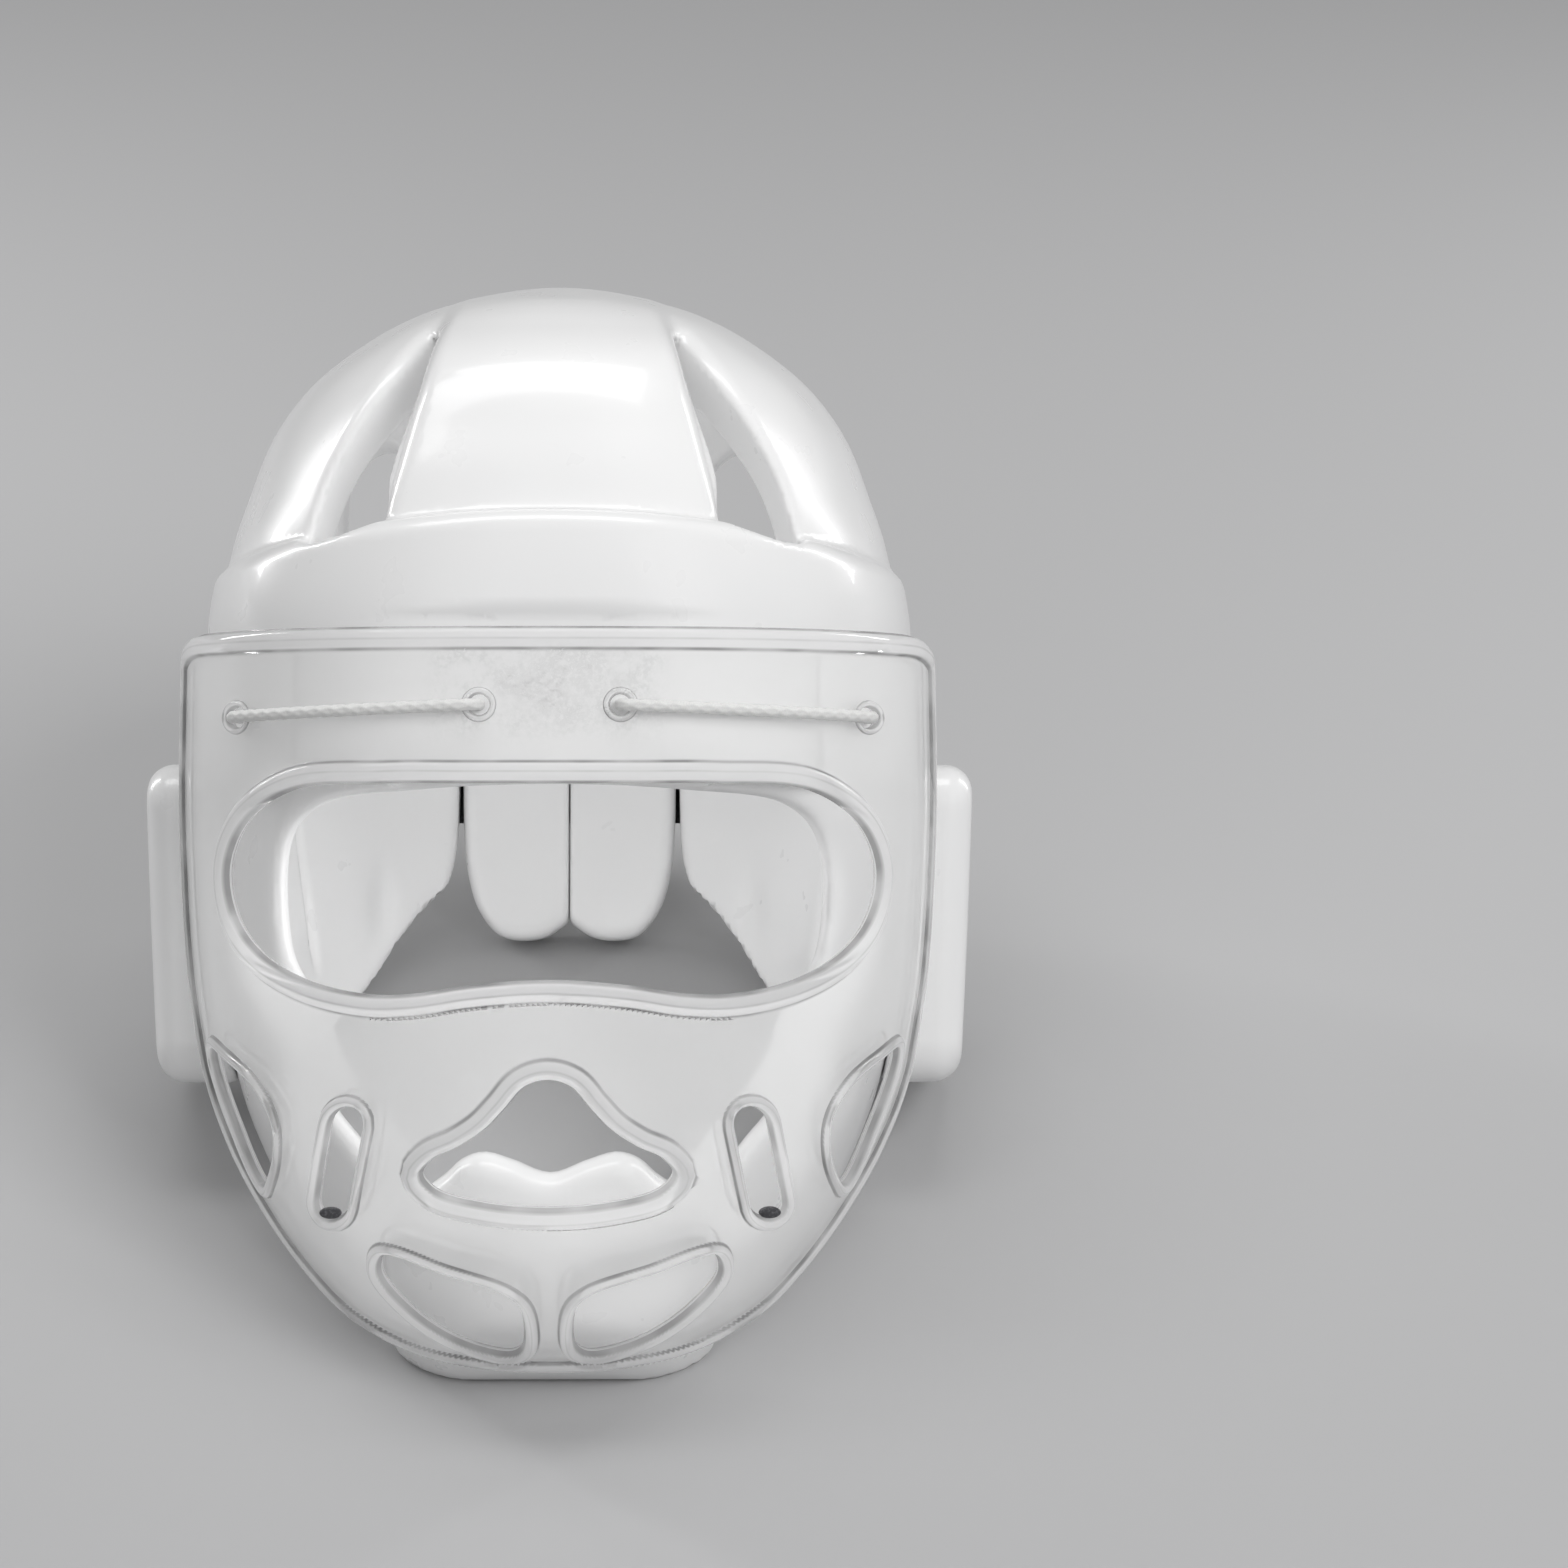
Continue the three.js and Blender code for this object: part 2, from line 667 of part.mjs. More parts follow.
function laceRoute(side) {
  // A point over the shield at x, out along the surface's own normal, or straight in where negative.
  const onShield = (x, out) => {
    const t = (x - eyelet.innerX) / (eyelet.outerX - eyelet.innerX);
    const z = THREE.MathUtils.lerp(eyelet.innerZ, eyelet.outerZ, t);
    const slope = out > 0 ? frontAt(shieldRows, x + 0.5, z) - frontAt(shieldRows, x - 0.5, z) : 0;
    const length = Math.hypot(slope, 1);
    return new THREE.Vector3(side * (x + out * slope / length), frontAt(shieldRows, x, z) - out / length, z);
  };
  const proud = lace.radius + clearance * 2;
  const sunk = -(shield.sheet + lace.depth);
  const span = eyelet.outerX - eyelet.innerX;
  const middle = [0.05, 0.2, 0.4, 0.6, 0.8, 0.94].map((t) => onShield(eyelet.innerX + span * t, proud));
  return [
    onShield(eyelet.innerX, sunk), onShield(eyelet.innerX, -shield.sheet), onShield(eyelet.innerX + 0.3, lace.radius / 2),
    ...middle,
    onShield(eyelet.outerX - 0.3, lace.radius), onShield(eyelet.outerX, -shield.sheet - 1),
    onShield(eyelet.outerX, sunk),
  ];
}

function makeLace(side, radius) {
  const curve = new THREE.CatmullRomCurve3(laceRoute(side), false, 'centripetal');
  const section = new THREE.Shape(Array.from({ length: lace.sides }, (_, i) => {
    const angle = 2 * Math.PI * i / lace.sides;
    return new THREE.Vector2(radius * Math.cos(angle), radius * Math.sin(angle));
  }));
  return solidOf(new THREE.ExtrudeGeometry(section, { steps: lace.steps, extrudePath: curve, bevelEnabled: false }));
}

// Assembly

const proudRows = foamRows.map((row) => ({
  ...row, side: row.side + brow.proudSide, front: row.front + brow.proud,
}));

function makeBrow() {
  const behindShield = stack(grown(shieldRows, -shield.sheet - clearance), shield.sides);
  const under = block([-reach, -reach, 0], [reach, reach, shield.top + clearance]).subtract(behindShield);
  let solid = stack(proudRows, guard.sides).subtract(hollow).intersect(browRegion(-clearance / 2)).subtract(under);
  for (const side of [1, -1]) solid = solid.subtract(makeLace(side, lace.radius + clearance));
  return solid;
}

const sidesCut = [browRegion(clearance / 2), faceOpening(), belowJaw(), underFloor()]
  .reduce((sum, solid) => sum.add(solid));

function makeSidePanel(side) {
  const top = crown.bottom - clearance / 2;
  const half = side > 0 ? block([0, -reach, -reach], [reach, reach, top]) : block([-reach, -reach, -reach], [0, reach, top]);
  const seam = face.chinHalf + clearance / 2;
  const middle = block([-seam, -reach, -reach], [seam, 0, brow.bottom]);
  return foamWall.intersect(half).subtract(sidesCut).subtract(lobeRegion(side, true)).subtract(middle);
}

function makeChinPad() {
  const seam = face.chinHalf - clearance / 2;
  return foamWall.intersect(block([-seam, -reach, 0], [seam, 0, brow.bottom - guard.foam])).subtract(sidesCut);
}

function makeLobe(side) {
  return foamWall.intersect(lobeRegion(side, false)).subtract(underFloor());
}

function makeEarPad(side) {
  const inner = guard.width / 2 - guard.foam;
  const outer = guard.width / 2 + ear.proud;
  const outline = roundedBox(ear.front + ear.bevel, ear.back - ear.bevel, ear.bottom + ear.bevel,
    ear.top - ear.bevel, ear.corner - ear.bevel);
  const geometry = new THREE.ExtrudeGeometry(flat(outline), {
    depth: outer - inner - ear.bevel * 2, bevelThickness: ear.bevel, bevelSize: ear.bevel, bevelSegments: 3,
  });
  const slant = -ear.slant / (ear.top - ear.bottom);
  geometry.applyMatrix4(new THREE.Matrix4().set(
    0, -slant, 1, inner + ear.bevel + slant * ear.top,
    1, 0, 0, 0,
    0, 1, 0, 0,
    0, 0, 0, 1));
  const beside = stack(grown(proudRows, clearance), guard.sides).intersect(browRegion(clearance));
  return solidOf(geometry, side < 0).subtract(stack(grown(foamRows, clearance), guard.sides)).subtract(beside);
}

function makeStrap() {
  const outer = stack(grown(foamRows, clearance + strap.thickness), guard.sides);
  const inner = stack(grown(foamRows, clearance), guard.sides);
  return outer.subtract(inner)
    .intersect(block([-reach, strap.end, strap.bottom], [reach, reach, strap.bottom + strap.width]));
}

function makeRivet(side) {
  const down = (slot.length - rivet.height) / 2 - clearance * 2.5;
  const x = side * (slot.x + slot.lean * down);
  const z = slot.z - down;
  const oval = Array.from({ length: rivet.sides }, (_, i) => {
    const angle = 2 * Math.PI * i / rivet.sides;
    return [x + rivet.width / 2 * Math.cos(angle), z + rivet.height / 2 * Math.sin(angle)];
  });
  const y = frontAt(shieldRows, x, z);
  return alongY(oval, y - rivet.head, y + shield.sheet);
}

const group = new THREE.Group();
group.add(
  meshOf('crown', makeCrown(), finishes.foam),
  meshOf('brow_band', makeBrow(), finishes.foam),
  meshOf('chin_pad', makeChinPad(), finishes.foam),
  meshOf('rear_strap', makeStrap(), finishes.elastic),
  meshOf('face_shield', makeShield(), finishes.shield),
);
for (const [hand, side] of [['left', -1], ['right', 1]]) {
  group.add(
    meshOf(`side_panel_${hand}`, makeSidePanel(side), finishes.foam),
    meshOf(`ear_pad_${hand}`, makeEarPad(side), finishes.foam),
    meshOf(`rear_lobe_${hand}`, makeLobe(side), finishes.foam),
    meshOf(`lace_${hand}`, makeLace(side, lace.radius), finishes.cord),
    meshOf(`cheek_rivet_${hand}`, makeRivet(side), finishes.stud),
  );
}

// Tip the guard back onto its two resting flats, centre it and stand it on z = 0.
group.rotation.x = -tilt;
group.updateMatrixWorld(true);
const extent = new THREE.Box3().setFromObject(group, true);
group.position.set(0, -(extent.min.y + extent.max.y) / 2, -floorTop);

export default group;
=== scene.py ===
"""Dress a karate head guard: dipped foam, clear face shield, laces, studs and rear elastic.

Shapes are worked out upright in millimetres, with the face towards -Y, the ear line at y = 0 and
the chin at z = 0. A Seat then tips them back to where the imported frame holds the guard.
"""

import json
import logging
import math
from dataclasses import dataclass
from enum import Enum
from typing import Callable, ClassVar, NamedTuple

import bpy
import numpy as np
from mathutils import Matrix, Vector
from mathutils.geometry import delaunay_2d_cdt
from mathutils.kdtree import KDTree

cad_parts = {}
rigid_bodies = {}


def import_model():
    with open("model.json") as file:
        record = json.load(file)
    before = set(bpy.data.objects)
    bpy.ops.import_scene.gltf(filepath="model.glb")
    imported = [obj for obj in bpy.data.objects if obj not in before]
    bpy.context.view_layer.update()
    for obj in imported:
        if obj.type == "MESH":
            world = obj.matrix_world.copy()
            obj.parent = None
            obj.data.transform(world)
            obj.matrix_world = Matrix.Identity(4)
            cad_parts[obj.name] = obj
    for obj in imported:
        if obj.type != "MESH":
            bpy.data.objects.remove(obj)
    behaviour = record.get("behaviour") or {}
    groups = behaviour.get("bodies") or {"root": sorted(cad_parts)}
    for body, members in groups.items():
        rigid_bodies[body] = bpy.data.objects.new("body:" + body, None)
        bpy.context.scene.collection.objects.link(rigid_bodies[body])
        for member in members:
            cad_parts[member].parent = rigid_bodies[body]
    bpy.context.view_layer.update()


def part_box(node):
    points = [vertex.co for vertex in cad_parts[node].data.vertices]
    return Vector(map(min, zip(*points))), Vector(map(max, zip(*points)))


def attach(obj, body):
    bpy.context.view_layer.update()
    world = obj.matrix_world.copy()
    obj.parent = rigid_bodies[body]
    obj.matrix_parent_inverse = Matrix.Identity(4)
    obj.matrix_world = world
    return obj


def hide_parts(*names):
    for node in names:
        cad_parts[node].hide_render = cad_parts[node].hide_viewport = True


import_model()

LOG = logging.getLogger("head_guard")
MILLIMETRE = 0.001
COARSE = 4  # cells to a step of the first, rough look at a field
BATCH = 200000  # cells near the surface worked out at once
ON_SHEET = 1.3  # the place across a rim that marks the plain sheet, where the rim ends at 1
STEEPEST = 0.25  # keeps a rim's surface from turning upright at its foot
Field = Callable[[np.ndarray, np.ndarray, np.ndarray], np.ndarray]


class Hand(Enum):
    """The two sides of the guard as the viewer sees them."""

    LEFT = -1
    RIGHT = 1

    @property
    def word(self) -> str:
        """The side's name in the frame's nodes."""
        return self.name.lower()


class Section(NamedTuple):
    """One level of a section table, in shares of the named sizes."""

    level: float
    side: float
    reach: float
    back: float
    square: float


@dataclass(frozen=True)
class GuardSizes:
    """Millimetres of the upright guard, as the frame was made from."""

    height: float = 284.5
    half_width: float = 92.0
    front: float = 104.0
    back: float = 113.0
    foam: float = 14.0
    clearance: float = 0.3
    brow_bottom: float = 150.5
    brow_top: float = 219.0
    brow_drop: float = 11.0
    brow_end: float = -8.0
    brow_proud: float = 13.0
    brow_proud_side: float = 2.4
    crown_bottom: float = 195.0
    panel_top: float = 264.0
    panel_half_top: float = 31.0
    panel_half_foot: float = 42.0
    panel_proud: float = 4.5
    face_half: float = 67.0
    chin_top: float = 59.0
    nape_bottom: float = 107.0
    nape_half: float = 30.5
    nape_notch: float = 5.0
    gap_top: float = 1.4
    gap_foot: float = 6.0
    rest_depth: float = 1.2


SIZES = GuardSizes()

FOAM_SECTIONS = (
    Section(-0.021, 0.48, 0.87, 0.80, 2.1),
    Section(0.0, 0.5, 0.9, 0.8, 2.1),
    Section(0.042, 0.58, 1.0, 0.82, 2.1),
    Section(0.105, 0.72, 1.07, 0.85, 2.1),
    Section(0.176, 0.84, 1.1, 0.88, 2.15),
    Section(0.246, 0.925, 1.1, 0.9, 2.2),
    Section(0.316, 0.97, 1.09, 0.92, 2.3),
    Section(0.387, 0.978, 1.07, 0.945, 2.35),
    Section(0.527, 1.0, 1.04, 0.99, 2.4),
    Section(0.668, 0.995, 1.01, 1.0, 2.4),
    Section(0.752, 0.951, 0.985, 0.982, 2.35),
    Section(0.801, 0.902, 0.942, 0.947, 2.3),
    Section(0.849, 0.846, 0.875, 0.894, 2.25),
    Section(0.896, 0.75, 0.79, 0.796, 2.2),
    Section(0.944, 0.576, 0.625, 0.637, 2.15),
    Section(0.973, 0.41, 0.47, 0.478, 2.1),
    Section(0.991, 0.215, 0.25, 0.26, 2.0),
    Section(1.0, 0.02, 0.02, 0.02, 2.0),
)

# The shield's reach is how far forward of the crown's front it stands, as a share of its muzzle.
SHIELD_SECTIONS = (
    Section(-0.03, 0.45, -0.25, 0.0, 2.0),
    Section(0.01, 0.53, 0.08, 0.0, 2.05),
    Section(0.05, 0.61, 0.47, 0.0, 2.1),
    Section(0.12, 0.71, 0.78, 0.0, 2.15),
    Section(0.2, 0.8, 0.97, 0.0, 2.2),
    Section(0.3, 0.885, 1.0, 0.0, 2.25),
    Section(0.41, 0.945, 0.89, 0.0, 2.35),
    Section(0.52, 0.975, 0.72, 0.0, 2.45),
    Section(0.63, 0.99, 0.58, 0.0, 2.55),
    Section(0.79, 1.0, 0.46, 0.0, 2.6),
    Section(1.0, 0.995, 0.42, 0.0, 2.6),
    Section(1.04, 0.995, 0.41, 0.0, 2.6),
)


# Curves and distances


def steady_curve(knots: np.ndarray, values: np.ndarray, where: np.ndarray) -> np.ndarray:
    """Interpolate smoothly without overshoot, and run straight on past both ends.

    Args:
        knots: Rising places of the known values.
        values: The known values.
        where: Places to work out.

    Returns:
        The values at those places.
    """
    gaps = np.diff(knots)
    rises = np.diff(values) / gaps
    slopes = np.empty_like(values)
    slopes[0], slopes[-1] = rises[0], rises[-1]
    before, after = rises[:-1], rises[1:]
    w1, w2 = 2 * gaps[1:] + gaps[:-1], gaps[1:] + 2 * gaps[:-1]
    same = before * after > 0
    safe_before = np.where(same, before, 1.0)
    safe_after = np.where(same, after, 1.0)
    slopes[1:-1] = np.where(same, (w1 + w2) / (w1 / safe_before + w2 / safe_after), 0.0)
    inner = np.clip(where, knots[0], knots[-1])
    i = np.clip(np.searchsorted(knots, inner, side="right") - 1, 0, len(gaps) - 1)
    t = (inner - knots[i]) / gaps[i]
    curve = (
        values[i] * (1 + 2 * t) * (1 - t) ** 2
        + slopes[i] * gaps[i] * t * (1 - t) ** 2
        + values[i + 1] * t * t * (3 - 2 * t)
        + slopes[i + 1] * gaps[i] * t * t * (t - 1)
    )
    past = where - inner
    return curve + past * np.where(past < 0, slopes[0], slopes[-1])


def round_join(a: np.ndarray, b: np.ndarray, radius: float) -> np.ndarray:
    """Join two solids' distances with a filleted crease."""
    near = np.maximum(radius - np.abs(a - b), 0.0) / radius
    return np.minimum(a, b) - near * near * radius / 4


def round_cut(a: np.ndarray, b: np.ndarray, radius: float) -> np.ndarray:
    """Keep what lies inside both solids, with a rounded edge."""
    return -round_join(-a, -b, radius)


def round_corner(a: np.ndarray, b: np.ndarray, radius: float) -> np.ndarray:
    """The distance to a rounded corner, from the distances to its two sides."""
    u, v = a + radius, b + radius
    return np.hypot(np.maximum(u, 0), np.maximum(v, 0)) + np.minimum(np.maximum(u, v), 0) - radius


def ease(value: np.ndarray) -> np.ndarray:
    """Rise smoothly from 0 to 1 as the value does."""
    t = np.clip(value, 0.0, 1.0)
    return t * t * (3 - 2 * t)


def smooth_line(points: np.ndarray, closed: bool, per_span: int = 14) -> np.ndarray:
    """Run a centripetal curve through points.

    Args:
        points: The points in order.
        closed: Whether the last point joins the first.
        per_span: Points made for each span.

    Returns:
        Points along the curve.
    """
    points = np.asarray(points, float)
    if closed:
        chain = np.vstack([points[-1], points, points[0], points[1]])
    else:
        chain = np.vstack([2 * points[0] - points[1], points, 2 * points[-1] - points[-2]])
    parts = []
    for p0, p1, p2, p3 in zip(chain, chain[1:], chain[2:], chain[3:]):
        t1 = math.sqrt(np.linalg.norm(p1 - p0))
        t2 = t1 + math.sqrt(np.linalg.norm(p2 - p1))
        t3 = t2 + math.sqrt(np.linalg.norm(p3 - p2))
        t = np.linspace(t1, t2, per_span, endpoint=False)[:, None]
        a1 = (t1 - t) / t1 * p0 + t / t1 * p1
        a2 = (t2 - t) / (t2 - t1) * p1 + (t - t1) / (t2 - t1) * p2
        a3 = (t3 - t) / (t3 - t2) * p2 + (t - t2) / (t3 - t2) * p3
        b1 = (t2 - t) / t2 * a1 + t / t2 * a2
        b2 = (t3 - t) / (t3 - t1) * a2 + (t - t1) / (t3 - t1) * a3
        parts.append((t2 - t) / (t2 - t1) * b1 + (t - t1) / (t2 - t1) * b2)
    if not closed:
        parts.append(points[-1:])
    return np.vstack(parts)


def within(ring: np.ndarray, a: np.ndarray, b: np.ndarray) -> np.ndarray:
    """Which points a, b of a plane lie inside a closed ring."""
    inside = np.zeros(a.shape, bool)
    for start, end in zip(ring, np.roll(ring, -1, axis=0)):
        if start[1] != end[1]:
            run = end - start
            spans = (start[1] > b) != (end[1] > b)
            inside ^= spans & (a < start[0] + (b - start[1]) * run[0] / run[1])
    return inside


def evenly(points: np.ndarray, spacing: float, closed: bool) -> np.ndarray:
    """Space points evenly along a line.

    Args:
        points: The line's points.
        spacing: The distance wanted between two points.
        closed: Whether the line is a loop.

    Returns:
        The evenly spaced points, without the last one again where the line is a loop.
    """
    chain = np.vstack([points, points[:1]]) if closed else points
    run = np.concatenate([[0], np.cumsum(np.linalg.norm(np.diff(chain, axis=0), axis=1))])
    count = max(8, round(run[-1] / spacing))
    at = np.linspace(0, run[-1], count, endpoint=False) if closed else np.linspace(0, run[-1], count + 1)
    return np.stack([np.interp(at, run, chain[:, i]) for i in range(chain.shape[1])], axis=1)


def mirrored(half: np.ndarray) -> np.ndarray:
    """Close a half outline, from top centre to bottom centre, with its mirror image."""
    half = np.asarray(half, float)
    other = half[half[:, 0] > 0][::-1] * (-1, 1)
    return np.vstack([half, other])


def in_box(shares: np.ndarray, left: float, right: float, bottom: float, top: float) -> np.ndarray:
    """Turn shares across and up into millimetres of a box."""
    return np.array([left, bottom]) + np.asarray(shares, float) * (right - left, top - bottom)


class FlatOutline:
    """A closed outline whose signed distance, negative inside, is tabulated on a grid."""

    def __init__(self, points: np.ndarray, margin: float = 14.0, step: float = 0.7) -> None:
        """Tabulate the distance.

        Args:
            points: The outline's corners in order.
            margin: How far past the outline the table goes.
            step: The table's pitch.
        """
        self.step = step
        self.low = points.min(axis=0) - margin
        self.count = np.ceil((points.max(axis=0) + margin - self.low) / step).astype(int) + 1
        a, b = np.meshgrid(*(self.low[i] + step * np.arange(self.count[i]) for i in range(2)), indexing="ij")
        nearest = np.full(a.shape, np.inf)
        for start, end in zip(points, np.roll(points, -1, axis=0)):
            run = end - start
            length = max(run @ run, 1e-12)
            share = np.clip(((a - start[0]) * run[0] + (b - start[1]) * run[1]) / length, 0, 1)
            gap = np.hypot(a - start[0] - share * run[0], b - start[1] - share * run[1])
            nearest = np.minimum(nearest, gap)
        self.table = np.where(within(points, a, b), -nearest, nearest)

    def distance(self, a: np.ndarray, b: np.ndarray) -> np.ndarray:
        """Read the table.

        Args:
            a: The points' first coordinates.
            b: Their second ones.

        Returns:
            The signed distances.
        """
        u = (a - self.low[0]) / self.step
        v = (b - self.low[1]) / self.step
        cu = np.clip(u, 0, self.count[0] - 1.001)
        cv = np.clip(v, 0, self.count[1] - 1.001)
        i, j = cu.astype(int), cv.astype(int)
        s, t = cu - i, cv - j
        table = self.table
        level = (1 - s) * ((1 - t) * table[i, j] + t * table[i, j + 1])
        level = level + s * ((1 - t) * table[i + 1, j] + t * table[i + 1, j + 1])
        return level + np.hypot(u - cu, v - cv) * self.step


class SectionStack:
    """Superellipse sections stacked from the chin up as one smooth surface."""

    pitch: float = 0.1
    below: float = 20.0
    above: float = 40.0

    def __init__(self, rows: np.ndarray) -> None:
        """Tabulate the sections finely by height.

        Args:
            rows: Columns of height, half width, reach to the front, reach to the back, exponent.
        """
        self.rows = rows
        z, side, front, back, square = rows.T
        self.z = np.arange(z[0] - self.below, z[-1] + self.above, self.pitch)
        self.area = steady_curve(z, side ** 2, self.z)
        self.slope = np.gradient(self.area, self.z)
        held = np.clip(self.z, z[0], z[-1])
        self.front_ratio = steady_curve(z, side / front, held)
        self.back_ratio = steady_curve(z, side / np.maximum(back, 1e-3), held)
        self.square = steady_curve(z, square, held)

    def grown(self, distance: float) -> "SectionStack":
        """Move the stack out along its profile's own normal.

        Args:
            distance: How far, negative for inwards.

        Returns:
            The new stack.
        """
        rows = self.rows.copy()
        girth = self.rows[:, 1:4].mean(axis=1)
        for i in range(len(rows)):
            low, high = max(i - 1, 0), min(i + 1, len(rows) - 1)
            run, rise = girth[high] - girth[low], self.rows[high, 0] - self.rows[low, 0]
            length = math.hypot(run, rise)
            rows[i, 1:4] = np.maximum(self.rows[i, 1:4] + distance * rise / length, 0.4)
            rows[i, 0] -= distance * run / length
        return SectionStack(rows)

    def _look(self, z: np.ndarray, *tables: np.ndarray) -> list[np.ndarray]:
        """Read evenly spaced tables at heights."""
        at = np.clip((z - self.z[0]) / self.pitch, 0, len(self.z) - 1.001)
        i = at.astype(int)
        share = at - i
        return [table[i] + share * (table[i + 1] - table[i]) for table in tables]

    def profile(self, z: np.ndarray) -> list[np.ndarray]:
        """Half width, reach to the front and exponent at heights."""
        area, ratio, square = self._look(z, self.area, self.front_ratio, self.square)
        side = np.sqrt(np.maximum(area, 1e-6))
        return [side, side / ratio, square]

    def distance(self, x: np.ndarray, y: np.ndarray, z: np.ndarray) -> np.ndarray:
        """The nearly true distance to the surface, negative inside."""
        return self.measure(x, y, z)[0]

    def measure(self, x: np.ndarray, y: np.ndarray, z: np.ndarray) -> tuple[np.ndarray, ...]:
        """Measure points against the surface.

        Args:
            x: Across.
            y: Towards the back.
            z: Up.

        Returns:
            The distance and the three parts of the outward direction.
        """
        area, slope, n, front, back = self._look(
            z, self.area, self.slope, self.square, self.front_ratio, self.back_ratio)
        ratio = np.where(y < 0, front, back)
        u, v = np.abs(x) + 1e-5, np.abs(y) * ratio + 1e-5
        un, vn = u ** (n - 1), v ** (n - 1)
        q = (un * u + vn * v) ** (2 / n)
        base = 2 * q ** (1 - n / 2)
        gx, gy = base * un * np.sign(x), base * vn * ratio * np.sign(y)
        steep = np.sqrt(gx * gx + gy * gy + slope * slope)
        steep = np.maximum(steep, np.sqrt(np.abs(area)) * 0.6)
        return (q - area) / steep, gx / steep, gy / steep, -slope / steep

    def front_y(self, x: np.ndarray, z: np.ndarray) -> np.ndarray:
        """The y of the front surface at x, z."""
        side, front, n = self.profile(z)
        return -front * (1 - np.clip(np.abs(x) / side, 0, 1) ** n) ** (1 / n)


def foam_rows(proud_side: float = 0.0, proud_front: float = 0.0) -> np.ndarray:
    """Turn the foam's section table into millimetres.

    Args:
        proud_side: How far it stands proud at each side.
        proud_front: How far it stands proud at the front.

    Returns:
        Rows for a SectionStack.
    """
    return np.array([
        (
            row.level * SIZES.height,
            row.side * SIZES.half_width + proud_side,
            row.reach * SIZES.front + proud_front,
            row.back * SIZES.back,
            row.square,
        )
        for row in FOAM_SECTIONS
    ])


# Meshes


@dataclass
class SkinMesh:
    """A mesh in upright millimetres, with its faces and true normals."""

    points: np.ndarray
    faces: list[list[int]]
    normals: np.ndarray


def on_hand(low: tuple[float, ...], high: tuple[float, ...], hand: Hand) -> list[tuple[float, ...]]:
    """The low and high corners, on either half, of a box given for the right one."""
    near, far = sorted((low[0] * hand.value, high[0] * hand.value))
    return [(near, *low[1:]), (far, *high[1:])]


def slope_of(field: Field, points: np.ndarray, step: float = 0.2) -> np.ndarray:
    """The direction in which a field rises at points."""
    parts = []
    for axis in range(3):
        shift = np.zeros(3)
        shift[axis] = step
        parts.append(field(*(points + shift).T) - field(*(points - shift).T))
    return np.stack(parts, axis=1) / (2 * step)


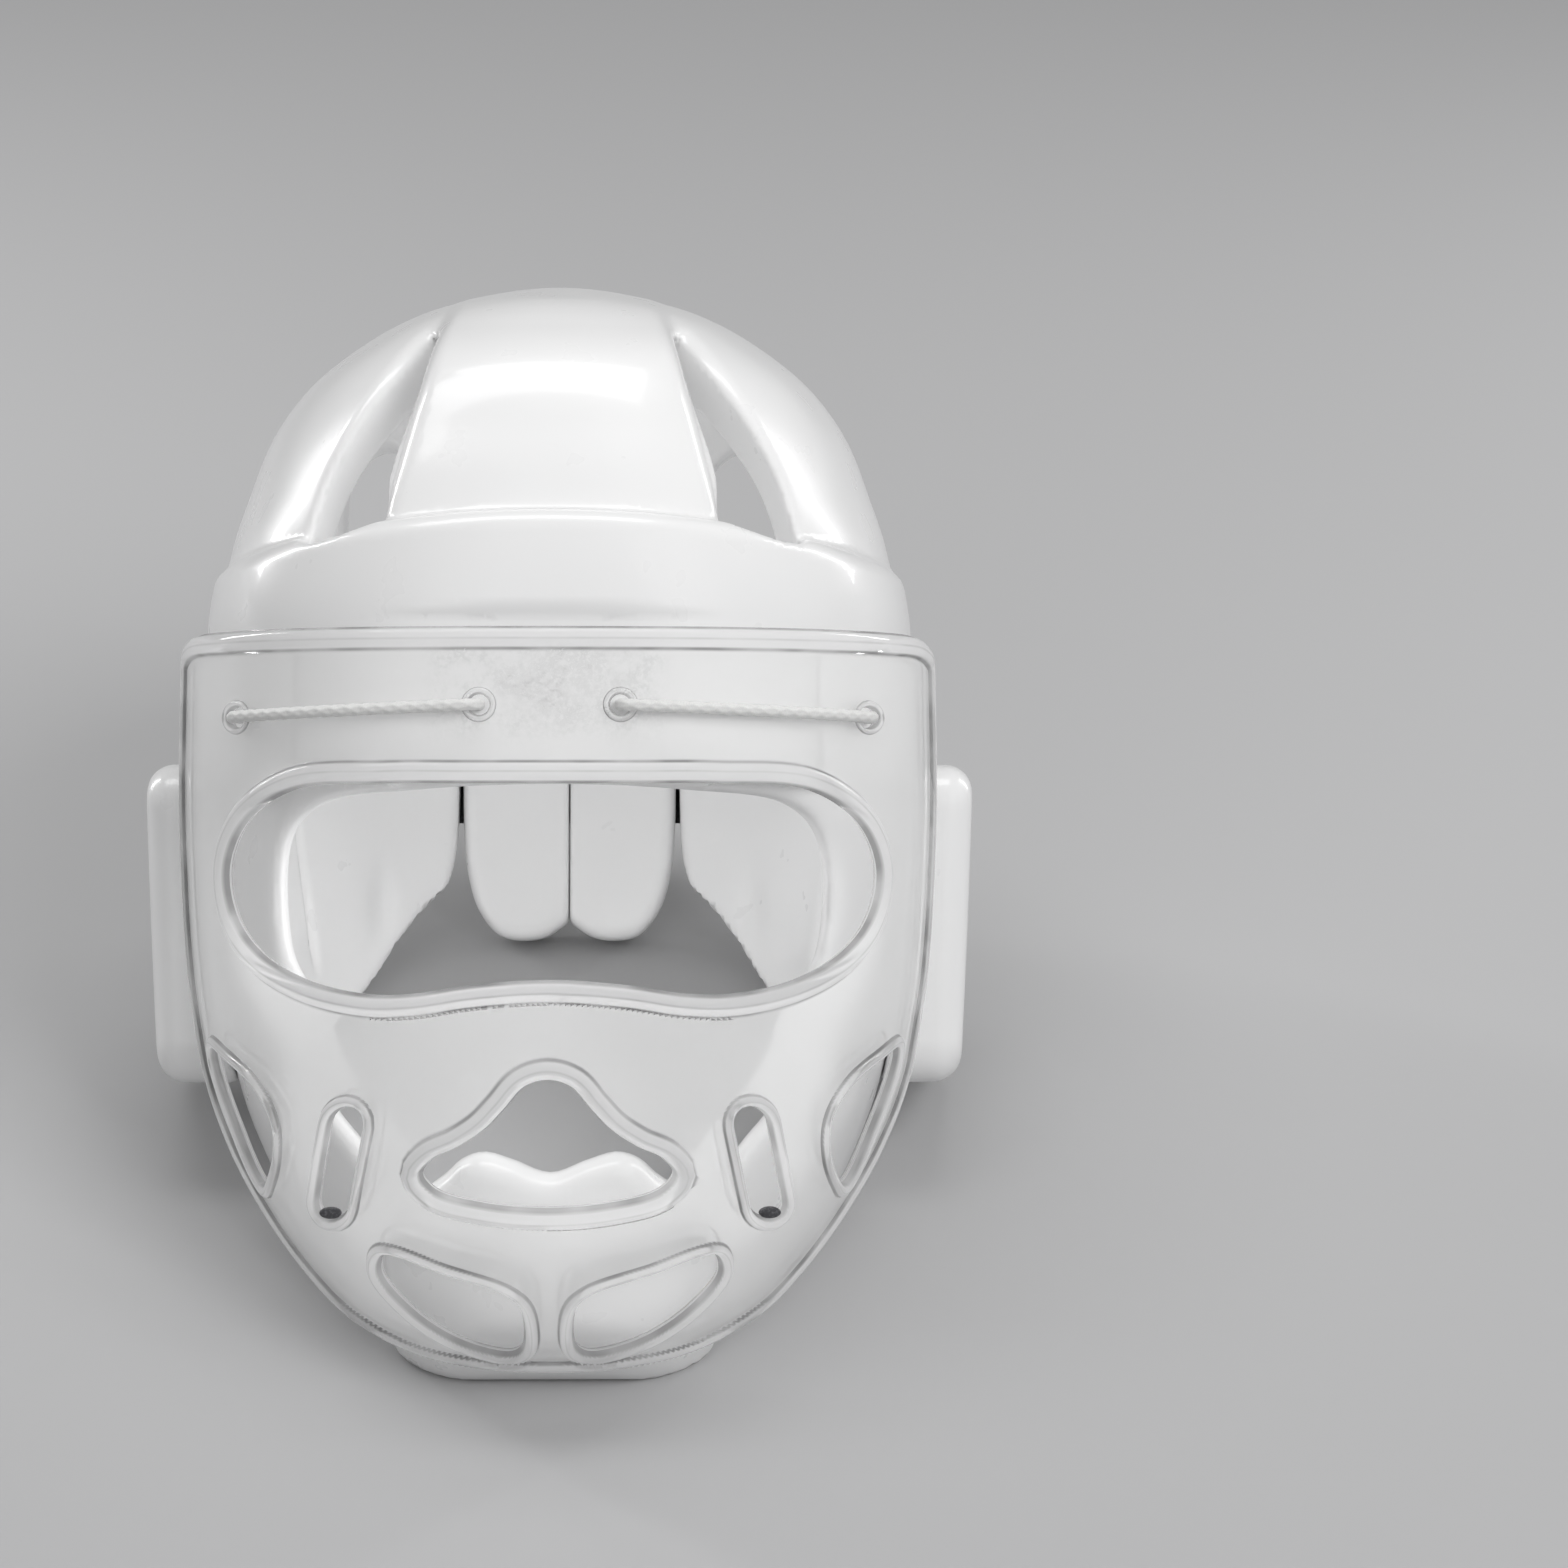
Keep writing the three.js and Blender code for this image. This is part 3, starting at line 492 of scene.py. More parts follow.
def skin_field(field: Field, low: tuple[float, ...], high: tuple[float, ...], cell: float) -> SkinMesh:
    """Mesh the zero level of a distance field as even quads drawn onto the true surface.

    Args:
        field: The solid's distance, negative inside.
        low: The lowest corner of the space searched.
        high: Its highest corner.
        cell: The side of a cell, about the side of a quad.

    Returns:
        The mesh, with normals from the field's own slope.
    """
    counts = np.ceil((np.array(high) - low) / cell / COARSE).astype(int) * COARSE + 1
    axes = [low[i] + cell * np.arange(counts[i]) for i in range(3)]
    rough = field(*np.meshgrid(*(axis[::COARSE] for axis in axes), indexing="ij"))
    nearest = np.ix_(*(np.rint(np.arange(count) / COARSE).astype(int) for count in counts))
    values = rough[nearest]
    near = np.argwhere(np.abs(values) < cell * COARSE * 1.2)
    for part in np.array_split(near, 1 + len(near) // BATCH):
        values[tuple(part.T)] = field(*(axes[i][part[:, i]] for i in range(3)))
    inside = values < 0
    corners = [(i, j, k) for i in (0, 1) for j in (0, 1) for k in (0, 1)]
    cells = counts - 1

    def corner_of(table: np.ndarray, corner: tuple[int, ...]) -> np.ndarray:
        """The table at one corner of every cell."""
        i, j, k = corner
        return table[i:i + cells[0], j:j + cells[1], k:k + cells[2]]

    filled = sum(corner_of(inside, corner).astype(np.int8) for corner in corners)
    mixed = (filled > 0) & (filled < 8)
    places = np.argwhere(mixed)
    number = np.full(tuple(cells), -1)
    number[mixed] = np.arange(len(places))
    at_corner = [corner_of(values, corner)[mixed] for corner in corners]
    total = np.zeros((len(places), 3))
    hits = np.zeros(len(places))
    for a, low_corner in enumerate(corners):
        for b in range(a + 1, 8):
            run = np.subtract(corners[b], low_corner)
            if np.abs(run).sum() != 1:
                continue
            crosses = (at_corner[a] < 0) != (at_corner[b] < 0)
            gap = np.where(crosses, at_corner[a] - at_corner[b], 1.0)
            share = np.where(crosses, at_corner[a] / gap, 0.0)
            total += np.where(crosses[:, None], np.array(low_corner) + share[:, None] * run, 0.0)
            hits += crosses
    points = np.array(low) + cell * (places + total / hits[:, None])

    quads = []
    for axis in range(3):
        u, v = (axis + 1) % 3, (axis + 2) % 3
        first = [slice(None)] * 3
        second = [slice(None)] * 3
        first[axis], second[axis] = slice(0, -1), slice(1, None)
        starts = inside[tuple(first)]
        change = np.argwhere(starts != inside[tuple(second)])
        fits = (change[:, u] > 0) & (change[:, v] > 0)
        fits &= (change[:, u] < cells[u]) & (change[:, v] < cells[v])
        change = change[fits]
        outward = starts[tuple(change.T)]
        ring = []
        for du, dv in ((-1, -1), (0, -1), (0, 0), (-1, 0)):
            place = change.copy()
            place[:, u] += du
            place[:, v] += dv
            ring.append(number[tuple(place.T)])
        ring = np.stack(ring, axis=1)
        quads.append(np.where(outward[:, None], ring, ring[:, ::-1]))
    quads = np.vstack(quads)

    ends = np.vstack([quads[:, [0, 1]], quads[:, [1, 2]], quads[:, [2, 3]], quads[:, [3, 0]]])
    ends = np.vstack([ends, ends[:, ::-1]])
    degree = np.bincount(ends[:, 0], minlength=len(points))
    normals = points
    for relaxes in (True, True, True, False, False):
        if relaxes:
            middle = np.stack(
                [np.bincount(ends[:, 0], points[ends[:, 1], i], len(points)) for i in range(3)], axis=1)
            pull = middle / np.maximum(degree, 1)[:, None] - points
            normal = slope_of(field, points)
            normal /= np.linalg.norm(normal, axis=1, keepdims=True) + 1e-9
            points = points + 0.5 * (pull - (pull * normal).sum(axis=1, keepdims=True) * normal)
        normals = slope_of(field, points)
        steep = (normals ** 2).sum(axis=1)
        level = field(*points.T)
        travel = np.clip(level / np.maximum(steep, 0.05), -cell / 2, cell / 2)
        points = points - travel[:, None] * normals
    normals = slope_of(field, points)
    normals /= np.linalg.norm(normals, axis=1, keepdims=True) + 1e-9
    return SkinMesh(points, quads.tolist(), normals)


def tube_faces(rings: int, sides: int) -> list[list[int]]:
    """Join rings of points into a tube closed by a point in the middle of each end.

    Args:
        rings: How many rings there are; the two middle points follow the last one.
        sides: Points in each ring.

    Returns:
        The faces, by point number.
    """
    last, start, end = (rings - 1) * sides, rings * sides, rings * sides + 1
    pairs = [(i, (i + 1) % sides) for i in range(sides)]
    faces = []
    for low in range(0, last, sides):
        faces += [[low + i, low + j, low + sides + j, low + sides + i] for i, j in pairs]
    for i, j in pairs:
        faces += [[start, j, i], [end, last + i, last + j]]
    return faces


def sweep(path: np.ndarray, section: Callable[[float, np.ndarray], np.ndarray], sides: int) -> SkinMesh:
    """Sweep a section along a path and close both ends.

    Args:
        path: The path's points.
        section: Gives the radii round the path at a distance along it, for an array of angles.
        sides: Facets round the path.

    Returns:
        The closed tube, without true normals.
    """
    tangent = np.gradient(path, axis=0)
    tangent /= np.linalg.norm(tangent, axis=1, keepdims=True)
    run = np.concatenate([[0], np.cumsum(np.linalg.norm(np.diff(path, axis=0), axis=1))])
    across = np.cross(tangent[0], (0.0, 0.3, 1.0))
    angles = np.linspace(0, 2 * math.pi, sides, endpoint=False)
    rings = []
    for point, ahead, along in zip(path, tangent, run):
        across = across - (across @ ahead) * ahead
        across /= np.linalg.norm(across)
        over = np.cross(ahead, across)
        radii = section(along, angles)
        rings.append(point + radii[:, None] * (
            np.cos(angles)[:, None] * across + np.sin(angles)[:, None] * over))
    points = np.vstack([*rings, path[:1], path[-1:]])
    return SkinMesh(points, tube_faces(len(path), sides), np.empty(0))


class Seat:
    """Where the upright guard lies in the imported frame: tipped back on chin and nape."""

    chin_share: float = 0.9
    nape_share: float = 0.94

    def __init__(self) -> None:
        """Work the tilt out from the two heels, and the place from an ear pad's box."""
        chin = np.array([-(self.chin_share * SIZES.front - SIZES.foam), 0.0])
        nape = np.array([SIZES.back * self.nape_share, SIZES.nape_bottom])
        self.tilt = math.atan2(nape[1] - chin[1], nape[0] - chin[0])
        self.turn = np.array(Matrix.Rotation(-self.tilt, 3, "X"))
        pad = EarPad.middle()
        low, high = (np.array(corner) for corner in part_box("ear_pad_right"))
        self.shift = (low + high) / 2 / MILLIMETRE - self.turn @ pad
        self.shift[0] = 0.0
        self.floor = -chin[0] * math.sin(self.tilt) + chin[1] * math.cos(self.tilt) + SIZES.rest_depth

    def place(self, points: np.ndarray) -> np.ndarray:
        """Upright millimetres to the frame's metres."""
        return (points @ self.turn.T + self.shift) * MILLIMETRE

    def above_floor(self, y: np.ndarray, z: np.ndarray) -> np.ndarray:
        """How far points lie above the surface that the guard rests on."""
        return z * math.cos(self.tilt) - y * math.sin(self.tilt) - self.floor

    def piece(self, name: str, skin: SkinMesh, finish: bpy.types.Material, slot: str,
              nodes: list[str]) -> bpy.types.Object:
        """Make a piece of the guard in the frame.

        Args:
            name: The piece's name.
            skin: Its mesh, upright in millimetres.
            finish: Its material.
            slot: The record's slot that the finish belongs to; not used.
            nodes: The frame's nodes that it stands for.

        Returns:
            The new object.
        """
        mesh = bpy.data.meshes.new(name)
        mesh.from_pydata(self.place(skin.points).tolist(), [], skin.faces)
        mesh.validate()
        mesh.shade_smooth()
        if len(skin.normals):
            mesh.normals_split_custom_set_from_vertices((skin.normals @ self.turn.T).tolist())
        mesh.materials.append(finish)
        piece = bpy.data.objects.new(name, mesh)
        bpy.context.scene.collection.objects.link(piece)
        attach(piece, "root")
        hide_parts(*nodes)
        LOG.info("%s: %d faces in place of %s", name, len(mesh.polygons), ", ".join(nodes))
        return piece


# Finishes


class NodeBench:
    """A small workbench that adds and joins a material's nodes."""

    def __init__(self, name: str) -> None:
        """Start an empty material."""
        self.material = bpy.data.materials.new(name)
        self.material.use_nodes = True
        self.tree = self.material.node_tree
        self.tree.nodes.clear()
        self.output = self.tree.nodes.new("ShaderNodeOutputMaterial")
        self.place = self.add("ShaderNodeTexCoord").outputs["Object"]

    def add(self, kind: str, inputs: dict | None = None, **settings: object) -> bpy.types.Node:
        """Add a node.

        Args:
            kind: Blender's name for the node.
            inputs: Values or sockets for its inputs, by name or number.
            settings: Its own settings.

        Returns:
            The node.
        """
        node = self.tree.nodes.new(kind)
        for key, value in settings.items():
            setattr(node, key, value)
        for key, value in (inputs or {}).items():
            socket = node.inputs[key]
            if isinstance(value, bpy.types.NodeSocket):
                self.tree.links.new(value, socket)
            else:
                socket.default_value = value
        return node

    def noise(self, size: float, detail: float = 2.0, rough: float = 0.5) -> bpy.types.NodeSocket:
        """Noise whose lumps are about size millimetres."""
        inputs = {
            "Vector": self.place, "Scale": 1 / (size * MILLIMETRE),
            "Detail": detail, "Roughness": rough,
        }
        return self.add("ShaderNodeTexNoise", inputs).outputs["Fac"]

    def math(self, operation: str, *values: object) -> bpy.types.NodeSocket:
        """One step of arithmetic."""
        return self.add("ShaderNodeMath", dict(enumerate(values)), operation=operation).outputs[0]

    def ramp(self, value: bpy.types.NodeSocket, low: float, high: float,
             start: float, end: float) -> bpy.types.NodeSocket:
        """Map a value from low..high to start..end and hold it past both."""
        inputs = {"Value": value, "From Min": low, "From Max": high, "To Min": start, "To Max": end}
        return self.add("ShaderNodeMapRange", inputs).outputs["Result"]

    def tint(self, share: bpy.types.NodeSocket, one: tuple[float, ...],
             two: tuple[float, ...]) -> bpy.types.NodeSocket:
        """Mix two colours by a share."""
        node = self.add("ShaderNodeMix", data_type="RGBA")
        node.inputs[6].default_value = (*one, 1.0)
        node.inputs[7].default_value = (*two, 1.0)
        self.tree.links.new(share, node.inputs[0])
        return node.outputs[2]

    def bump(self, height: bpy.types.NodeSocket, depth: float, strength: float,
             under: bpy.types.NodeSocket | None = None) -> bpy.types.NodeSocket:
        """Turn a height into a normal, over another one if given; depth is in millimetres."""
        inputs = {"Height": height, "Distance": depth * MILLIMETRE, "Strength": strength}
        if under is not None:
            inputs["Normal"] = under
        return self.add("ShaderNodeBump", inputs).outputs["Normal"]

    def steps(self, value: bpy.types.NodeSocket, stops: list[tuple[float, float]]) -> bpy.types.NodeSocket:
        """Shade a value from 0 to 1 by grey stops, each a place and a grey."""
        node = self.add("ShaderNodeValToRGB", {"Fac": value})
        marks = node.color_ramp.elements
        while len(marks) < len(stops):
            marks.new(0.5)
        for mark, (place, grey) in zip(marks, stops):
            mark.position = place
            mark.color = (grey, grey, grey, 1.0)
        return node.outputs["Color"]

    def blend(self, share: object, one: object, two: object) -> bpy.types.NodeSocket:
        """Mix two colours or greys that come from sockets by a share."""
        return self.add("ShaderNodeMix", {0: share, 6: one, 7: two}, data_type="RGBA").outputs[2]

    def mix(self, share: object, one: bpy.types.Node, two: bpy.types.Node) -> bpy.types.Node:
        """Mix two shaders by a share."""
        return self.add("ShaderNodeMixShader", {0: share, 1: one.outputs[0], 2: two.outputs[0]})

    def finish(self, shader: bpy.types.Node) -> bpy.types.Material:
        """Join the shader to the output and hand the material over."""
        self.tree.links.new(shader.outputs[0], self.output.inputs["Surface"])
        return self.material


@dataclass(frozen=True)
class VinylDip:
    """Glossy white vinyl over soft foam, with faint orange peel and very shallow dents."""

    white: tuple[float, ...] = (0.83, 0.83, 0.83)
    shade: tuple[float, ...] = (0.82, 0.82, 0.822)
    gloss: float = 0.27
    dull: float = 0.31
    dent_size: float = 30.0
    dent_depth: float = 0.9
    peel_size: float = 1.9
    peel_depth: float = 0.035
    coat: float = 0.35

    def make(self) -> bpy.types.Material:
        """Build the material."""
        bench = NodeBench("vinyl_dip")
        patches = bench.ramp(bench.noise(self.dent_size, 3), 0.35, 0.7, 0, 1)
        colour = bench.tint(patches, self.white, self.shade)
        rough = bench.ramp(bench.noise(14, 3), 0.3, 0.7, self.gloss, self.dull)
        dents = bench.bump(bench.noise(self.dent_size, 1), self.dent_depth, 0.25)
        peel = bench.bump(bench.noise(self.peel_size, 2), self.peel_depth, 0.4, dents)
        shader = bench.add("ShaderNodeBsdfPrincipled", {
            "Base Color": colour, "Roughness": rough, "Normal": peel,
            "Coat Weight": self.coat, "Coat Roughness": 0.07, "Specular IOR Level": 0.5,
        })
        return bench.finish(shader)


@dataclass(frozen=True)
class ClearPlastic:
    """Clear moulded plastic, a little cloudy, with painted dark lines along its rims and a frosted forehead.

    The painted lines are shade painted into the colour where the rolled rims refract light darkly; they are
    pairs of a place across the rim and a grey.
    """

    body: tuple[float, ...] = (0.97, 0.97, 0.97)
    index: float = 1.47
    cloudy: float = 0.42
    cloudy_rim: float = 0.3
    frosted: float = 0.62
    rim_end: float = 1.02
    sheet_start: float = 1.16
    rim_gloss: float = 0.03
    let_through: float = 0.93
    lines: tuple[tuple[float, float], ...] = (
        (0.0, 0.5), (0.07, 1.0), (0.42, 1.0), (0.5, 0.8), (0.58, 1.0), (0.88, 1.0), (0.96, 0.42),
        (1.02, 0.46), (1.13, 1.0),
    )

    def make(self) -> bpy.types.Material:
        """Build the material."""
        bench = NodeBench("clear_plastic")
        frost = bench.add("ShaderNodeAttribute", attribute_name="frost").outputs["Fac"]
        across = bench.add("ShaderNodeAttribute", attribute_name="across").outputs["Fac"]
        reach = bench.math("MULTIPLY", frost, bench.ramp(bench.noise(9, 4, 0.6), 0.36, 0.58, 0, 1))
        crinkle = bench.ramp(bench.noise(1.3, 4, 0.7), 0.38, 0.62, 0, 1)
        mottle = bench.math("MULTIPLY", reach, crinkle)
        ripple = bench.bump(bench.noise(17, 2), 0.5, 0.25)
        worn = bench.bump(mottle, 0.3, 0.7, ripple)
        # The rim lines are painted shade: dark greys that stand in for the dark refraction along the rolled
        # rims.
        stops = [(at / ON_SHEET, grey) for at, grey in self.lines]
        lines = bench.steps(bench.math("DIVIDE", across, ON_SHEET), stops)
        faded = bench.ramp(bench.noise(13, 1), 0.36, 0.62, 0, 0.5)
        clear_of_marks = bench.ramp(mottle, 0, 1, 1, 0.74)
        # band carries the painted rim shade into the glass colour, and shade below takes it into the milky
        # colour.
        band = bench.blend(faded, lines, clear_of_marks)
        on_sheet = bench.ramp(across, self.rim_end, self.sheet_start, 0, 1)
        glass = bench.add("ShaderNodeBsdfGlass", {
            "Color": band, "Roughness": self.rim_gloss, "IOR": self.index, "Normal": ripple,
        })
        pane = bench.add("ShaderNodeBsdfTransparent", {"Color": (*self.body, 1.0)})
        shine = bench.add("ShaderNodeBsdfGlossy", {
            "Color": (1.0, 1.0, 1.0, 1.0), "Roughness": bench.ramp(mottle, 0, 1, 0.04, 0.45), "Normal": worn,
        })
        edge_on = bench.add("ShaderNodeFresnel", {"IOR": self.index, "Normal": worn}).outputs[0]
        sheet = bench.mix(edge_on, pane, shine)
        body = bench.mix(on_sheet, glass, sheet)
        shade = bench.blend(on_sheet, band, clear_of_marks)
        through = bench.add("ShaderNodeBsdfTranslucent", {"Color": shade, "Normal": ripple})
        back = bench.add("ShaderNodeBsdfDiffuse", {"Color": shade, "Normal": ripple})
        milk = bench.mix(0.5, through, back)
        share = bench.ramp(on_sheet, 0, 1, self.cloudy_rim, self.cloudy)
        share = bench.math("MAXIMUM", share, bench.ramp(mottle, 0, 1, 0, self.frosted))
        milky = bench.mix(share, body, milk)
        path = bench.add("ShaderNodeLightPath")
        passing = bench.math("MAXIMUM", path.outputs["Is Shadow Ray"], path.outputs["Is Diffuse Ray"])
        passing = bench.math("MULTIPLY", passing, self.let_through)
        clear = bench.add("ShaderNodeBsdfTransparent", {"Color": (*self.body, 1.0)})
        return bench.finish(bench.mix(passing, milky, clear))


@dataclass(frozen=True)
class BraidedCord:
    """White braided polyester cord."""

    light: tuple[float, ...] = (0.74, 0.74, 0.73)
    dark: tuple[float, ...] = (0.56, 0.56, 0.56)

    def make(self) -> bpy.types.Material:
        """Build the material."""
        bench = NodeBench("braided_cord")
        fibres = bench.noise(0.35, 2)
        colour = bench.tint(bench.ramp(fibres, 0.3, 0.7, 0, 0.5), self.light, self.dark)
        shader = bench.add("ShaderNodeBsdfPrincipled", {
            "Base Color": colour, "Roughness": 0.62, "Normal": bench.bump(fibres, 0.08, 0.7),
            "Sheen Weight": 0.3, "Sheen Roughness": 0.4,
        })
        return bench.finish(shader)


@dataclass(frozen=True)
class WovenElastic:
    """Black ribbed elastic webbing."""

    black: tuple[float, ...] = (0.012, 0.012, 0.013)
    worn: tuple[float, ...] = (0.05, 0.05, 0.053)
    pick: float = 0.9

    def make(self) -> bpy.types.Material:
        """Build the material."""
        bench = NodeBench("woven_elastic")
        scale = 1 / (self.pick * MILLIMETRE)
        picks = bench.add("ShaderNodeTexVoronoi", {"Vector": bench.place, "Scale": scale})
        weave = picks.outputs["Distance"]
        fuzz = bench.noise(0.4, 3)
        colour = bench.tint(bench.math("MULTIPLY", weave, fuzz), self.black, self.worn)
        shader = bench.add("ShaderNodeBsdfPrincipled", {
            "Base Color": colour, "Roughness": 0.82, "Normal": bench.bump(weave, 0.3, 0.8),
            "Sheen Weight": 0.25, "Sheen Roughness": 0.5,
        })
        return bench.finish(shader)


@dataclass(frozen=True)
class DarkStud:
    """Dark satin plastic with fine scuffs."""

    dark: tuple[float, ...] = (0.05, 0.05, 0.055)
    scuff: tuple[float, ...] = (0.16, 0.16, 0.17)

    def make(self) -> bpy.types.Material:
        """Build the material."""
        bench = NodeBench("dark_stud")
        scuffs = bench.ramp(bench.noise(0.7, 4, 0.7), 0.5, 0.75, 0, 1)
        shader = bench.add("ShaderNodeBsdfPrincipled", {
            "Base Color": bench.tint(scuffs, self.dark, self.scuff),
            "Roughness": bench.ramp(scuffs, 0, 1, 0.28, 0.5),
            "Normal": bench.bump(scuffs, 0.05, 0.5),
        })
        return bench.finish(shader)


@dataclass(frozen=True)
class PaleFloor:
    """Matt pale studio floor."""

    pale: tuple[float, ...] = (0.46, 0.46, 0.465)

    def make(self) -> bpy.types.Material:
        """Build the material."""
        bench = NodeBench("pale_floor")
        deep = tuple(0.985 * part for part in self.pale)
        colour = bench.tint(bench.noise(400, 2), self.pale, deep)
        shader = bench.add("ShaderNodeBsdfPrincipled", {"Base Color": colour, "Roughness": 0.9})
        return bench.finish(shader)


# Foam


@dataclass
class FoamSkin:
    """Crown, brow band, sides and chin cup: foam dipped in one vinyl skin."""

    seat: Seat
    low: tuple[float, ...] = (-99.0, -126.0, -6.0)
    high: tuple[float, ...] = (99.0, 119.0, 291.0)
    cell: float = 2.0
    opening_edge: float = 7.0
    jaw_edge: float = 5.0
    vent_edge: float = 3.0
    panel_edge: float = 4.0
    brow_edge: float = 5.0
    crease: float = 1.6
    vent_way: tuple[float, ...] = (-0.2, 0.85, -0.44)
    vent_lean: float = 0.75
    vent_depth: float = 36.0
    rear_vent_y: float = 38.0
    panel_y: float = -18.0
    panel_fade_back: float = 26.0
    panel_fade_top: float = 22.0
    seam_edge: float = 1.0
    gap_edge: float = 3.0
    rest_edge: float = 0.8
    shield_gap: float = 2.9
    shield_edge: float = 1.5
    shield_lip_z: float = 191.5
    shield_lip_slope: float = 0.6
    dent_x: float = 53.0
    dent_z: float = 118.0
    dent_half: float = 3.2
    dent_tall: float = 8.5
    dent_depth: float = 2.2
    fold_x: float = 40.0
    fold_y: float = 42.0
    fold_z: float = 125.0
    fold_lean: float = 0.12
    fold_half: float = 2.4
    fold_bottom: float = 96.0
    fold_top: float = 150.0
    fold_fade: float = 12.0
    fold_depth: float = 1.3

    def __post_init__(self) -> None:
        """Lay out the section stacks and the outlines of everything cut from the foam."""
        self.outer = SectionStack(foam_rows())
        self.hollow = self.outer.grown(-SIZES.foam)
        self.proud = SectionStack(foam_rows(SIZES.brow_proud_side, SIZES.brow_proud))
        self.shield = shield_stack()
        self.face = FlatOutline(self._face_outline())
        self.jaw = FlatOutline(self._jaw_outline())
        self.vent = FlatOutline(self._vent_outline())
        self.gap = FlatOutline(lobe_outline(with_gap=True))
        self.rear_vent = FlatOutline(smooth_line(
            np.array([(38, 216), (41, 240), (50, 246), (59, 240), (62, 229), (61, 217), (50, 213)]), True))

    def _face_outline(self) -> np.ndarray:
        """The face opening from the brow down to the dip of the chin cup."""
        shares = np.array([
            (0.0, 1.0), (0.5, 0.985), (0.88, 0.945), (1.0, 0.85), (1.0, 0.54), (0.9, 0.41), (0.83, 0.32),
            (0.85, 0.23), (0.83, 0.12), (0.72, 0.02), (0.515, -0.15), (0.46, -0.1), (0.39, -0.06),
            (0.33, -0.02), (0.25, 0.0), (0.14, -0.02), (0.0, -0.055),
        ])
        half = shares * (SIZES.face_half, SIZES.brow_bottom - SIZES.chin_top) + (0, SIZES.chin_top)
        return smooth_line(mirrored(half), True)

    def _jaw_outline(self) -> np.ndarray:
        """What lies under the lower edge, from the side."""
        line = np.array([
            (-1.6, 0.34), (-1.0, 0.08), (-0.82, 0.0), (-0.72, 0.0), (-0.62, 0.12), (-0.28, 0.33), (0.0, 0.5),
            (0.35, 0.72), (0.5, 0.79), (0.618, 0.88), (0.785, 1.115), (1.3, 1.85),
        ])
        reach = np.where(line[:, :1] < 0, SIZES.front, SIZES.back)
        edge = smooth_line(np.hstack([line[:, :1] * reach, line[:, 1:] * SIZES.nape_bottom]), False)
        return np.vstack([edge, (160.0, -40.0), (-180.0, -40.0)])

    def _vent_outline(self) -> np.ndarray:
        """The right front vent from the front."""
        shares = np.array([
            (0.178, 1.08), (0.252, 0.68), (0.293, 0.38), (0.32, 0.1), (0.332, -0.22), (0.238, -0.1),
            (0.226, 0.25), (0.198, 0.65), (0.172, 1.04),
        ])
        scale = (SIZES.half_width * 2, SIZES.panel_top - SIZES.brow_top)
        return smooth_line(shares * scale + (0, SIZES.brow_top), True)

    def brow_top(self, x: np.ndarray) -> np.ndarray:
        """The height of the brow band's upper edge."""
        return SIZES.brow_top - SIZES.brow_drop * np.minimum(1, (x / SIZES.half_width) ** 2 * 1.1)

    def wall(self, x: np.ndarray, y: np.ndarray, z: np.ndarray) -> np.ndarray:
        """The plain foam wall between the outer and the inner sections."""
        return round_cut(self.outer.distance(x, y, z), -self._inside(x, y, z), self.seam_edge)

    def _inside(self, x: np.ndarray, y: np.ndarray, z: np.ndarray) -> np.ndarray:
        """The hollow, with a thumb dent behind each cheek and a fold beside each ear."""
        inside = self.hollow.distance(x, y, z)
        dent = ((np.abs(x) - self.dent_x) / self.dent_half) ** 2 + ((z - self.dent_z) / self.dent_tall) ** 2
        inside = inside - np.where(y > 0, self.dent_depth * np.exp(-dent), 0.0)
        fold = ((y - self.fold_y + (z - self.fold_z) * self.fold_lean) / self.fold_half) ** 2
        reach = ease((z - self.fold_bottom) / self.fold_fade) * ease((self.fold_top - z) / self.fold_fade)
        return inside - np.where(np.abs(x) > self.fold_x, self.fold_depth * np.exp(-fold) * reach, 0.0)

    def _front_vent(self, x: np.ndarray, y: np.ndarray, z: np.ndarray) -> np.ndarray:
        """Cut a slanted shaft through the crown, followed back to the surface along its own way.

        Args:
            x: Across, without its sign.
            y: Towards the back.
            z: Up.

        Returns:
            The shaft's distance, negative inside.
        """
        lean = self.vent_lean * ease((z - SIZES.brow_top - 6) / 40)
        aside, back, down = self.vent_way
        way = np.stack([aside - lean, np.full_like(z, back), down - 0.2 * lean])
        way = way / np.linalg.norm(way, axis=0)
        travel = np.zeros_like(x)
        px, py, pz = x, y, z
        for _ in range(2):
            level, *facing = self.outer.measure(px, py, pz)
            facing = np.minimum(sum(part * step for part, step in zip(facing, way)), -0.25)
            travel = travel + np.clip(level / facing, -40, 60)
            px, py, pz = x - travel * way[0], y - travel * way[1], z - travel * way[2]
        shaft = self.vent.distance(px, pz)
        return np.maximum(np.maximum(shaft, travel - self.vent_depth), y + 4)

